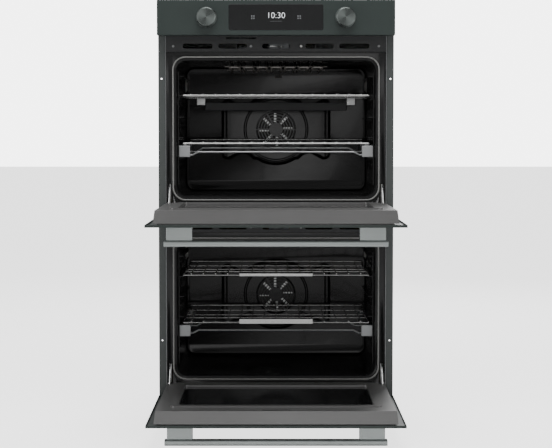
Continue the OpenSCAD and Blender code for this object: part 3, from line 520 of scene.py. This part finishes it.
def cut_window(form, low, high):
    """Takes out the faces of a sheet across Y between two corners (x, z)."""
    across, up = Vector((1, 0, 0)), Vector((0, 0, 1))
    for normal, place in ((across, low[0]), (across, high[0]), (up, low[1]), (up, high[1])):
        nearby = [f for f in form.faces if abs(f.normal.y) > 0.9]
        corners = {v for f in nearby for v in f.verts}
        sides = {e for f in nearby for e in f.edges}
        bmesh.ops.bisect_plane(form, geom=[*corners, *sides, *nearby], plane_co=normal * place,
                               plane_no=normal, dist=1e-6)
    form.normal_update()
    inside = [f for f in form.faces if abs(f.normal.y) > 0.9
              and low[0] < f.calc_center_median().x < high[0] and low[1] < f.calc_center_median().z < high[1]]
    bmesh.ops.delete(form, geom=inside, context="FACES")


HINGES = {joint["name"]: Vector(joint["pos_m"]) for joint in frame["joints"] if joint["type"] == "hinge"}
SEAL_OUT = 0.0154
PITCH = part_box("upper_cavity")[0].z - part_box("lower_cavity")[0].z


def cavity_opening(oven):
    """Width, height and middle height of an oven's opening: the gasket runs a fixed step outside it."""
    low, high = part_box("door_gaskets")
    width = high.x - low.x - 2 * SEAL_OUT
    height = high.z - low.z - PITCH - 2 * SEAL_OUT
    return width, height, low.z + SEAL_OUT + height / 2 + (PITCH if oven == "upper" else 0)


for oven in ("upper", "lower"):
    width, height, middle = cavity_opening(oven)
    low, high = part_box(f"{oven}_cavity")
    front, back = low.y, high.y - WALL
    frame_width, frame_height = high.x - low.x, high.z - low.z
    frame_middle = (0, (low.z + high.z) / 2)
    centre = (0, middle)
    hinge = HINGES[f"{oven}_door_hinge"]
    form = bmesh.new()
    rings = lofted(form, [
        (frame_width, frame_height, 0.0012, frame_middle, front + WALL),
        (frame_width, frame_height, 0.0012, frame_middle, front + 0.0004),
        (frame_width - 0.001, frame_height - 0.001, 0.001, frame_middle, front),
        (width + 0.012, height + 0.012, 0.036, centre, front),
        (width + 0.006, height + 0.006, 0.033, centre, front + 0.0008),
        (width + 0.002, height + 0.002, 0.031, centre, front + 0.003),
        (width, height, 0.03, centre, front + 0.007),
        (width, height, 0.03, centre, back - 0.014),
        (width - 0.003, height - 0.003, 0.029, centre, back - 0.006),
        (width - 0.010, height - 0.010, 0.026, centre, back - 0.0018),
        (width - 0.026, height - 0.026, 0.02, centre, back),
    ])
    bmesh.ops.contextual_create(form, geom=rings[-1])
    bmesh.ops.recalc_face_normals(form, faces=form.faces)
    for side in (-1, 1):
        ends = sorted((side * SLOT_IN, side * SLOT_OUT))
        cut_window(form, (ends[0], hinge.z - SLOT_BELOW), (ends[1], hinge.z + SLOT_ABOVE))
    shell = make_piece(f"{oven}_enamelled_cavity", form, black_enamel, "case", "black_enamel",
                       f"{oven}_cavity")
    wall = shell.modifiers.new("sheet", "SOLIDIFY")
    wall.thickness = SHELL_SHEET
    wall.offset = 1

make_piece("punched_rack_guides", softened("rack_guides", 0.0007, 2), black_enamel, "case",
           "black_enamel", "rack_guides")


# ---------------------------------------------------------------- door gaskets
# Each gasket is a braided glass-fibre rope with a wire core, clipped round the oven's mouth.


def braided_rope():
    rope = Finish("braided_rope", (0.3, 0.3, 0.29), Roughness=0.9)
    along_z = rope.node("ShaderNodeTexWave", {"bands_direction": "DIAGONAL"},
                        {"Vector": rope.place, "Scale": 190.0, "Distortion": 1.5}, 1)
    fuzz = rope.noise(700.0)
    return rope.feed(Base_Color=rope.shade(rope.clamped(along_z * 0.6 + fuzz * 0.5), 0.5, 1.35),
                     Normal=rope.bump(along_z + fuzz * 0.4, 0.5, 0.0006))


def bent_wire(form, points, bend, radius, sides=12, closed=False):
    """A round wire through a list of corner points, bent to one radius at each corner."""
    points = [Vector(p) for p in points]
    if closed:
        start = (points[0] + points[-1]) / 2
        points = [start] + points + [start]
    place, heading = points[0], (points[1] - points[0]).normalized()
    facing = Matrix.Translation(place) @ heading.to_track_quat("Z", "Y").to_matrix().to_4x4()
    ring = bmesh.ops.create_circle(form, cap_ends=False, segments=sides, radius=radius,
                                   matrix=facing)["verts"]
    first, edges = ring, list({e for v in ring for e in v.link_edges})
    for number in range(1, len(points)):
        last = number == len(points) - 1
        onward = heading if last else (points[number + 1] - points[number]).normalized()
        angle = heading.angle(onward)
        run = (points[number] - place).length - bend * math.tan(angle / 2)
        if run > 1e-6:
            made = bmesh.ops.extrude_edge_only(form, edges=edges)["geom"]
            ring = [v for v in made if isinstance(v, bmesh.types.BMVert)]
            edges = [e for e in made if isinstance(e, bmesh.types.BMEdge) and all(v in ring for v in e.verts)]
            bmesh.ops.translate(form, verts=ring, vec=heading * run)
            place = place + heading * run
        if angle > 1e-4:
            axis = heading.cross(onward).normalized()
            centre = place + axis.cross(heading) * bend
            steps = max(2, round(math.degrees(angle) / 12))
            parts = bmesh.ops.spin(form, geom=ring + edges, cent=centre, axis=axis, dvec=(0, 0, 0),
                                   angle=angle, steps=steps, use_duplicate=False)["geom_last"]
            ring = [v for v in parts if isinstance(v, bmesh.types.BMVert)]
            edges = [e for e in parts if isinstance(e, bmesh.types.BMEdge)]
            place = centre + Matrix.Rotation(angle, 3, axis) @ (place - centre)
            heading = onward
    if not closed:
        for end in (first, ring):
            bmesh.ops.contextual_create(form, geom=end)


def welded(form):
    """Merges the seams of a form and turns its faces outwards."""
    bmesh.ops.remove_doubles(form, verts=form.verts, dist=1e-6)
    bmesh.ops.recalc_face_normals(form, faces=form.faces)
    return form


rope_finish = braided_rope()
seal_low, seal_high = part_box("door_gaskets")
ROPE = (seal_high.y - seal_low.y) / 2
GASKET_BEND = 0.04
gaskets = bmesh.new()
for oven in ("upper", "lower"):
    width, height, middle = cavity_opening(oven)
    half_width = width / 2 + SEAL_OUT - ROPE
    half_height = height / 2 + SEAL_OUT - ROPE
    bent_wire(gaskets, [(side * half_width, seal_low.y + ROPE, middle + up * half_height)
                        for side, up in ((-1, -1), (1, -1), (1, 1), (-1, 1))], GASKET_BEND, ROPE, 14, True)
make_piece("braided_gaskets", welded(gaskets), rope_finish, "case", "gasket", "door_gaskets")


# ---------------------------------------------------------------- insulation
# A blanket of yellow-brown glass wool wraps each cavity behind the front frame.


def glass_wool():
    wool = Finish("glass_wool", (0.43, 0.37, 0.2), Roughness=0.95)
    fibre = wool.noise(260.0, 6.0, 0.7, wool.stretched(1, 1, 0.3))
    lump = wool.noise(16.0)
    return wool.feed(Base_Color=wool.shade(wool.clamped(fibre * 0.6 + lump * 0.4), 0.6, 1.25),
                     Normal=wool.bump(fibre + lump * 2, 0.8, 0.002))


finish_nodes(glass_wool(), "insulation_wraps")


# ---------------------------------------------------------------- fan covers
# A pressed enamelled cover shaped like a bow tie hides the ring element and the convection fan.
# A round bead is pressed round the fan and a fold runs down the outer end of each wing.

SPOKES = 240
DISC = 0.127
WING_CORNER = (0.171, 0.085)
WING_RADIUS = 0.022
BITE = (0.122, 0.135)
BITE_RADIUS = 0.05
HUB = 0.024
GUARD_STEP = 0.01
GUARD_SLOTS = 5
SLOT = 0.0065
GUARD = 0.074
RIB = 0.005
GROOVE = [(0.104, 0), (0.1083, 0.0045), (0.1105, 0.0045), (0.1148, 0)]
RIM = [(0.0105, 0), (0.0065, 0.0011), (0.003, 0.0038), (0.0008, 0.0078), (0, 0.012)]
COVER_SHEET = 0.0012


def cover_reach(angle):
    """How far the bow-tie outline lies from its middle: a disc, and a plate with its corners bitten out."""
    reach = DISC
    for step in range(320):
        r = DISC + step * 0.0003
        across, up = abs(r * math.cos(angle)), abs(r * math.sin(angle))
        past_corner = math.hypot(max(across - WING_CORNER[0], 0), max(up - WING_CORNER[1], 0))
        if past_corner <= WING_RADIUS and math.hypot(across - BITE[0], up - BITE[1]) > BITE_RADIUS:
            reach = r
    return reach


def in_slot(x, z):
    """Whether a point of the guard lies in one of its round slots, between two of its six ribs."""
    r, turn = math.hypot(x, z), math.atan2(z, x)
    off_rib = r * abs(math.sin((turn + math.pi / 6) % (math.pi / 3) - math.pi / 6))
    starts = [HUB + n * GUARD_STEP for n in range(GUARD_SLOTS)]
    return off_rib > RIB / 2 and any(start < r < start + SLOT for start in starts)


def cover_form(front, back, middle):
    """A pressed sheet: slotted guard, flat face with a round groove, and a rounded, turned-back rim."""
    ways = [Vector((math.cos(a), 0, math.sin(a))) for a in (2 * math.pi * k / SPOKES for k in range(SPOKES))]
    edge = [way * cover_reach(math.atan2(way.z, way.x)) for way in ways]
    outward = [(edge[(k + 1) % SPOKES] - edge[k - 1]).cross(Vector((0, 1, 0))).normalized()
               for k in range(SPOKES)]
    outward = [out if out.dot(point) > 0 else -out for out, point in zip(outward, edge)]

    def on_face(k, radius, depth):
        """A point of the face, which stops where the rim begins."""
        limit = edge[k] - outward[k] * RIM[0][0]
        if radius < limit.length - 0.0005:
            return ways[k] * radius + Vector((0, front + depth, middle))
        return limit + Vector((0, front, middle))

    def on_rim(k, inset, depth):
        return edge[k] - outward[k] * inset + Vector((0, front + depth, middle))

    guard = [(HUB + n * GUARD_STEP + wide, 0) for n in range(GUARD_SLOTS) for wide in (0, SLOT)]
    stations = [(on_face, *station) for station in guard + [(GUARD, 0)] + GROOVE]
    stations += [(on_rim, *station) for station in RIM + [(0, back - front)]]
    form = bmesh.new()
    ring = bmesh.ops.create_circle(form, cap_ends=True, segments=SPOKES, radius=1)["verts"]
    spoke = {vertex: k for k, vertex in enumerate(ring)}
    edges = list({e for v in ring for e in v.link_edges})
    for number, (place, reach, depth) in enumerate(stations):
        if number > 0:
            made = bmesh.ops.extrude_edge_only(form, edges=edges)["geom"]
            before, spoke = spoke, {}
            for vertex in (v for v in made if isinstance(v, bmesh.types.BMVert)):
                spoke[vertex] = next(before[e.other_vert(vertex)] for e in vertex.link_edges
                                     if e.other_vert(vertex) in before)
            edges = [e for e in made
                     if isinstance(e, bmesh.types.BMEdge) and all(v in spoke for v in e.verts)]
        for vertex, k in spoke.items():
            vertex.co = place(k, reach, depth)
    centres = {face: face.calc_center_median() for face in form.faces}
    open_slots = [face for face, centre in centres.items() if in_slot(centre.x, centre.z - middle)]
    bmesh.ops.delete(form, geom=open_slots, context="FACES")
    welded(form)
    if sum(face.normal.y * face.calc_area() for face in form.faces) > 0:
        bmesh.ops.reverse_faces(form, faces=form.faces)
    return form


cover_low, cover_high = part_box("fan_covers")
cover_finish = porcelain("folded_porcelain", 0.175)
for oven in ("upper", "lower"):
    form = cover_form(cover_low.y, cover_high.y, cavity_opening(oven)[2])
    made = make_piece(f"{oven}_pressed_fan_cover", form, cover_finish, "case", "black_enamel",
                      *(["fan_covers"] if oven == "upper" else []))
    # the punched edges stay crisp, and the sheet gets its thickness before its shading is evened
    punched = bmesh.new()
    punched.from_mesh(made.data)
    for line in punched.edges:
        line.smooth = line.smooth and not line.is_boundary
    punched.to_mesh(made.data)
    punched.free()
    sheet = made.modifiers.new("sheet", "SOLIDIFY")
    sheet.thickness = COVER_SHEET
    sheet.offset = -1
    made.modifiers.move(1, 0)


# ---------------------------------------------------------------- convection fans
# Each fan is a stamped steel disc with folded blades, spot-welded to a turned hub.


def rolled_steel(name, colour, roughness):
    steel = Finish(name, colour, Metallic=0.95)
    scratch = steel.noise(120.0, 4.0, 0.6, steel.stretched(1, 0.12, 1))
    cloud = steel.noise(11.0)
    return steel.feed(Base_Color=steel.shade(steel.clamped(scratch * 0.5 + cloud * 0.5), 0.82, 1.12),
                      Roughness=scratch * 0.12 + cloud * 0.08 + roughness,
                      Normal=steel.bump(scratch, 0.04, 0.0002))


def slab(form, low, high, radius=0.0004, steps=2):
    """A rectangular block between two corners, with rounded edges."""
    low, high = Vector(low), Vector(high)
    made = bmesh.ops.create_cube(form, size=1, matrix=Matrix.Translation((low + high) / 2)
                                 @ Matrix.Diagonal((*(high - low), 1)))["verts"]
    bmesh.ops.bevel(form, geom=list({e for v in made for e in v.link_edges}), offset=radius, affect="EDGES",
                    segments=steps, profile=0.5, material=-1, clamp_overlap=True)


bright_finish = rolled_steel("rolled_steel", (0.58, 0.585, 0.58), 0.2)
blued_finish = rolled_steel("blued_steel", (0.07, 0.068, 0.066), 0.35)
BLADES = 8
BLADE_IN, BLADE_OUT = 0.018, 0.058
FOLD_IN = 0.026
for oven in ("upper", "lower"):
    low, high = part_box(f"{oven}_fan")
    middle = (low.z + high.z) / 2
    foot = cover_high.y - 0.003
    plate = [(0, foot), (0.0635, foot), (0.064, foot - 0.0005), (0.0635, foot - 0.0015)]
    hub = [(0.016, foot - 0.0015), (0.015, foot - 0.0125), (0.014, foot - 0.013)]
    shaft = [(0.004, foot - 0.013), (0.0038, foot - 0.0145), (0, foot - 0.0148)]
    disc = turned(plate + hub + shaft, 72)
    bmesh.ops.translate(disc, verts=disc.verts, vec=(0, 0, middle))
    make_piece(f"{oven}_fan_disc", disc, blued_finish, f"{oven}_fan", "fan_steel", f"{oven}_fan")
    blades = bmesh.new()
    for k in range(BLADES):
        before = set(blades.verts)
        slab(blades, (BLADE_IN, foot - 0.0128, -0.001), (BLADE_OUT, foot - 0.0012, 0.0006), 0.0003)
        slab(blades, (FOLD_IN, foot - 0.0129, -0.001), (BLADE_OUT, foot - 0.0118, 0.0075), 0.0004)
        bmesh.ops.rotate(blades, cent=(0, 0, 0), matrix=Matrix.Rotation(2 * math.pi * k / BLADES, 3, "Y"),
                         verts=[v for v in blades.verts if v not in before])
    bmesh.ops.translate(blades, verts=blades.verts, vec=(0, 0, middle))
    make_piece(f"{oven}_fan_blades", blades, bright_finish, f"{oven}_fan", "fan_steel")
finish_nodes(bright_finish, "hinge_receivers")
finish_nodes(blued_finish, "temperature_sensors")


# ---------------------------------------------------------------- heating elements
# The elements are steel tubes packed with magnesia. Heat has browned their sheaths.


def scorched_tube():
    tube = Finish("scorched_tube", (0.3, 0.285, 0.27), Metallic=0.6)
    heat = tube.noise(9.0)
    speck = tube.noise(380.0)
    return tube.feed(Base_Color=tube.shade(tube.clamped(heat * 0.8 + speck * 0.2), 0.55, 1.9),
                     Roughness=speck * 0.2 + 0.42, Normal=tube.bump(speck, 0.15, 0.0003))


tube_finish = scorched_tube()
finish_nodes(tube_finish, "convection_elements", "bake_elements", "broil_elements")


# ---------------------------------------------------------------- oven lamps
# A round stepped glass cap covers each halogen lamp in the side walls.


def lamp_cap():
    cap = Finish("lamp_cap_glass", (0.72, 0.72, 0.7), Transmission_Weight=0.25, IOR=1.5)
    frost = cap.noise(160.0)
    return cap.feed(Base_Color=cap.shade(frost, 0.9, 1.05), Roughness=frost * 0.2 + 0.12)


finish_nodes(lamp_cap(), "oven_lamps")


# ---------------------------------------------------------------- wire racks
# Each rack is bent from steel rod and plated: a closed outer frame that steps up at the rear, cross rods
# below and a row of thinner wires welded on top; the lower oven's two racks also have a folded plate at the
# front.

RAIL = 0.003
ROD = 0.0025
WIRE = 0.0018
WIRE_PITCH = 0.0395
PLATE_HALF = 0.1195
PLATES = {"lower_flat_rack": 0.009, "lower_roll_rack": 0.015}


def plated_wire():
    chrome = Finish("plated_wire", (0.62, 0.62, 0.61), Metallic=1.0)
    cloud = chrome.noise(22.0)
    scuff = chrome.noise(300.0, 4.0, 0.6, chrome.stretched(1, 0.1, 1))
    return chrome.feed(Base_Color=chrome.shade(chrome.clamped(cloud * 0.6 + scuff * 0.4), 0.84, 1.1),
                       Roughness=scuff * 0.12 + cloud * 0.08 + 0.13, Normal=chrome.bump(scuff, 0.03, 0.0002))


chrome_finish = plated_wire()
for name in ("upper_flat_rack", "lower_flat_rack", "upper_roll_rack", "lower_roll_rack"):
    low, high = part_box(name)
    half = high.x - RAIL
    front, rear = low.y + RAIL + (0.0005 if name in PLATES else 0), high.y - RAIL
    z, raised = high.z - 0.015, high.z - RAIL
    step = rear - 0.014
    wires = bmesh.new()
    side_rail = [(front, z), (step - 0.004, z), (step + 0.007, raised), (rear, raised)]
    outline = [(half, *point) for point in side_rail] + [(-half, *point) for point in reversed(side_rail)]
    bent_wire(wires, outline[-1:] + outline[:-1], 0.0045, RAIL, 14, True)
    for along in (front + 0.143, front + 0.233, step - 0.04):
        bent_wire(wires, [(-half, along, z), (half, along, z)], 0, ROD, 12)
    top = z + RAIL + WIRE - 0.001
    for k in range(-7, 8):
        x = k * WIRE_PITCH
        route = [(x, front - 0.001, top), (x, step - 0.012, top), (x, rear, raised)]
        bent_wire(wires, route, 0.012, WIRE, 10)
    if name in PLATES:
        edge = low.z + PLATES[name]
        slab(wires, (-PLATE_HALF, low.y, low.z), (PLATE_HALF, low.y + 0.0015, edge), 0.0005)
        slab(wires, (-PLATE_HALF, low.y + 0.0004, edge - 0.0015), (PLATE_HALF, front + 0.008, edge), 0.0005)
    make_piece(f"{name}_wires", welded(wires), chrome_finish, name, "rack_chrome", name)


# ---------------------------------------------------------------- rack bar
# A dark enamelled bar hangs below the upper rack on two bright clips.

low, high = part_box("rack_bar")
bar_half = 0.24
bar_top = high.z - 0.0185
bar = bmesh.new()
slab(bar, (-bar_half, low.y, low.z), (bar_half, high.y, bar_top), 0.0025, 4)
make_piece("hanging_bar", bar, black_sheet, "upper_flat_rack", "bar_enamel", "rack_bar")
clips = bmesh.new()
for side in (-1, 1):
    ends = sorted((side * bar_half, side * (high.x - 0.0002)))
    slab(clips, (ends[0], low.y + 0.0005, bar_top - 0.0085),
         (ends[1], high.y - 0.0005, bar_top + 0.0155), 0.0012, 3)
make_piece("bar_clips", clips, bright_finish, "upper_flat_rack", "rack_chrome")


# ---------------------------------------------------------------- telescopic slides
# Each roll-out rack stands on a frame of two cross rods welded between the inner slide rails.
# Outside them a middle rail and a fixed rail run on balls. Grey end caps close the front.


def end_cap_grey():
    grey = Finish("end_cap_grey", (0.4, 0.41, 0.415), Metallic=0.35)
    grain = grey.noise(500.0)
    cloud = grey.noise(14.0)
    return grey.feed(Base_Color=grey.shade(cloud, 0.9, 1.1), Roughness=grain * 0.1 + cloud * 0.1 + 0.3,
                     Normal=grey.bump(grain, 0.08, 0.0002))


# each cross rod: how far back it lies, how far in it bends, its two depths, its radius
CROSS_RODS = ((0.047, 0.015, 0.086, 0.076, 0.00325), (0.177, 0.024, 0.076, 0.064, 0.003))
cap_finish = end_cap_grey()
slide_finish = rolled_steel("slide_steel", (0.5, 0.505, 0.51), 0.26)
finish_nodes(slide_finish, "slide_rails")
for oven in ("upper", "lower"):
    middle = cavity_opening(oven)[2]
    low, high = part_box(f"{oven}_slide_frame")
    inner = high.x - 0.026
    slides, caps = bmesh.new(), bmesh.new()
    for side in (-1, 1):
        ends = sorted((side * inner, side * (inner + 0.008)))
        slab(slides, (ends[0], low.y + 0.009, middle - 0.09), (ends[1], high.y, middle - 0.058), 0.0012, 3)
        ends = sorted((side * (inner - 0.01), side * (inner + 0.026)))
        slab(caps, (ends[0], low.y, middle - 0.092), (ends[1], low.y + 0.0088, middle - 0.055), 0.0022, 4)
        ends = sorted((side * (inner + 0.004), side * (inner + 0.014)))
        for along in (0.06, 0.39):
            slab(slides, (ends[0], along, middle - 0.0585), (ends[1], along + 0.02, middle - 0.0512), 0.0008)
    for along, inset, end_drop, middle_drop, rod in CROSS_RODS:
        reach = inner - inset
        right = [(reach - 0.02, middle_drop), (reach, end_drop), (inner + 0.002, end_drop)]
        route = [(-x, drop) for x, drop in reversed(right)] + right
        bent_wire(slides, [(x, along, middle - drop) for x, drop in route], 0.01, rod, 14)
    make_piece(f"{oven}_slide_inner_rails", welded(slides), slide_finish, f"{oven}_roll_rack", "slide_steel",
               f"{oven}_slide_frame")
    make_piece(f"{oven}_slide_end_caps", caps, cap_finish, f"{oven}_roll_rack", "slide_steel")
    make_piece(f"{oven}_slide_mid_rails", softened(f"{oven}_mid_rails", 0.0006), slide_finish,
               f"{oven}_mid_rails", "slide_steel", f"{oven}_mid_rails")


# ---------------------------------------------------------------- hinge stays, latches and switches
# Bright stay arms come out of the front frame and hold each open door. Above each oven a motor
# turns a latch hook, and a white plunger tells the controls that the door is shut.


def white_plastic():
    plastic = Finish("white_plastic", (0.62, 0.62, 0.59))
    cloud = plastic.noise(40.0)
    return plastic.feed(Base_Color=plastic.shade(cloud, 0.92, 1.06), Roughness=cloud * 0.2 + 0.3)


plastic_finish = white_plastic()
for oven in ("upper", "lower"):
    make_piece(f"{oven}_stay_links", softened(f"{oven}_stay_arms", 0.0007), bright_finish, f"{oven}_stays",
               "bright_steel", f"{oven}_stay_arms")
    make_piece(f"{oven}_stamped_hook", softened(f"{oven}_latch_hook", 0.0004), bright_finish, f"{oven}_latch",
               "bright_steel", f"{oven}_latch_hook")
    make_piece(f"{oven}_switch_plunger", softened(f"{oven}_plunger", 0.0006, 3), plastic_finish,
               f"{oven}_plunger", "plunger_plastic", f"{oven}_plunger")
screw_finish = rolled_steel("screw_steel", (0.36, 0.365, 0.37), 0.25)
make_piece("pan_head_screws", softened("frame_screws", 0.0008, 3, 50), screw_finish, "case", "screw_steel",
           "frame_screws")


# ---------------------------------------------------------------- control board
# A green circuit board with dark parts stands behind the control glass.


def circuit_board():
    board = Finish("circuit_board", (0.02, 0.11, 0.045))
    track = board.noise(130.0, 0.0)
    traces = board.maths("SINE", track * 60) > 0.6
    return board.feed(Base_Color=board.shade(traces, 0.8, 1.9), Roughness=traces * 0.1 + 0.35)


finish_nodes(circuit_board(), "control_board")


# ---------------------------------------------------------------- doors
# Each door has a painted skin folded round its edge, black glass outside, a pressed liner of dark
# coated steel inside, and panes in the window, whose frame is rolled up as a bright-edged bead.


def coated_steel():
    liner = Finish("coated_steel", (0.23, 0.228, 0.227), Metallic=0.7, Coat_Roughness=0.2)
    grain = liner.noise(210.0, 4.0, 0.6, liner.stretched(0.08, 1, 1))
    cloud = liner.noise(4.0)
    return liner.feed(Base_Color=liner.shade(liner.clamped(cloud * 0.7 + grain * 0.3), 0.82, 1.15),
                      Roughness=grain * 0.1 + cloud * 0.1 + 0.3, Coat_Weight=cloud * 0.1 + 0.15,
                      Normal=liner.bump(grain, 0.04, 0.0002))


pane_glass = Finish("pane_glass", (0.012, 0.0125, 0.013), Specular_IOR_Level=0.6)
pane_smear = pane_glass.noise(9.0)
pane_glass.feed(Base_Color=pane_glass.shade(pane_smear, 0.85, 1.3), Roughness=pane_smear * 0.08 + 0.05,
                Normal=pane_glass.bump(pane_smear, 0.01))
liner_finish = coated_steel()
for oven in ("upper", "lower"):
    body = f"{oven}_door"
    make_piece(f"{oven}_painted_skin", softened(f"{oven}_door_skin", 0.0015, 3), green_coat, body,
               "green_paint", f"{oven}_door_skin")
    make_piece(f"{oven}_outer_pane", softened(f"{oven}_door_glass", 0.0005), pane_glass.material, body,
               "door_glass", f"{oven}_door_glass")
    make_piece(f"{oven}_window_panes", softened(f"{oven}_inner_glass", 0.0005), pane_glass.material, body,
               "window_glass", f"{oven}_inner_glass")
    make_piece(f"{oven}_pressed_liner", softened(f"{oven}_door_pan", 0.0009), liner_finish, body, "pan_steel",
               f"{oven}_door_pan")


# ---------------------------------------------------------------- handles
# A broad painted bar with rounded edges stands on two flat posts across the top of each door.


def anodised(name, colour):
    metal = Finish(name, colour, Metallic=0.75)
    grain = metal.noise(160.0, 4.0, 0.6, metal.stretched(0.04, 1, 1))
    cloud = metal.noise(6.0)
    return metal.feed(Base_Color=metal.shade(metal.clamped(grain * 0.5 + cloud * 0.5), 0.85, 1.15),
                      Roughness=grain * 0.1 + cloud * 0.08 + 0.24, Normal=metal.bump(grain, 0.03, 0.0002))


handle_finish = anodised("tinted_aluminium", (0.5, 0.54, 0.53))
for oven in ("upper", "lower"):
    make_piece(f"{oven}_grip_bar", softened(f"{oven}_handle_bar", 0.0016, 3), handle_finish, f"{oven}_door",
               "handle_paint", f"{oven}_handle_bar")
    make_piece(f"{oven}_grip_posts", softened(f"{oven}_handle_posts", 0.002, 3), handle_finish,
               f"{oven}_door", "handle_paint", f"{oven}_handle_posts")
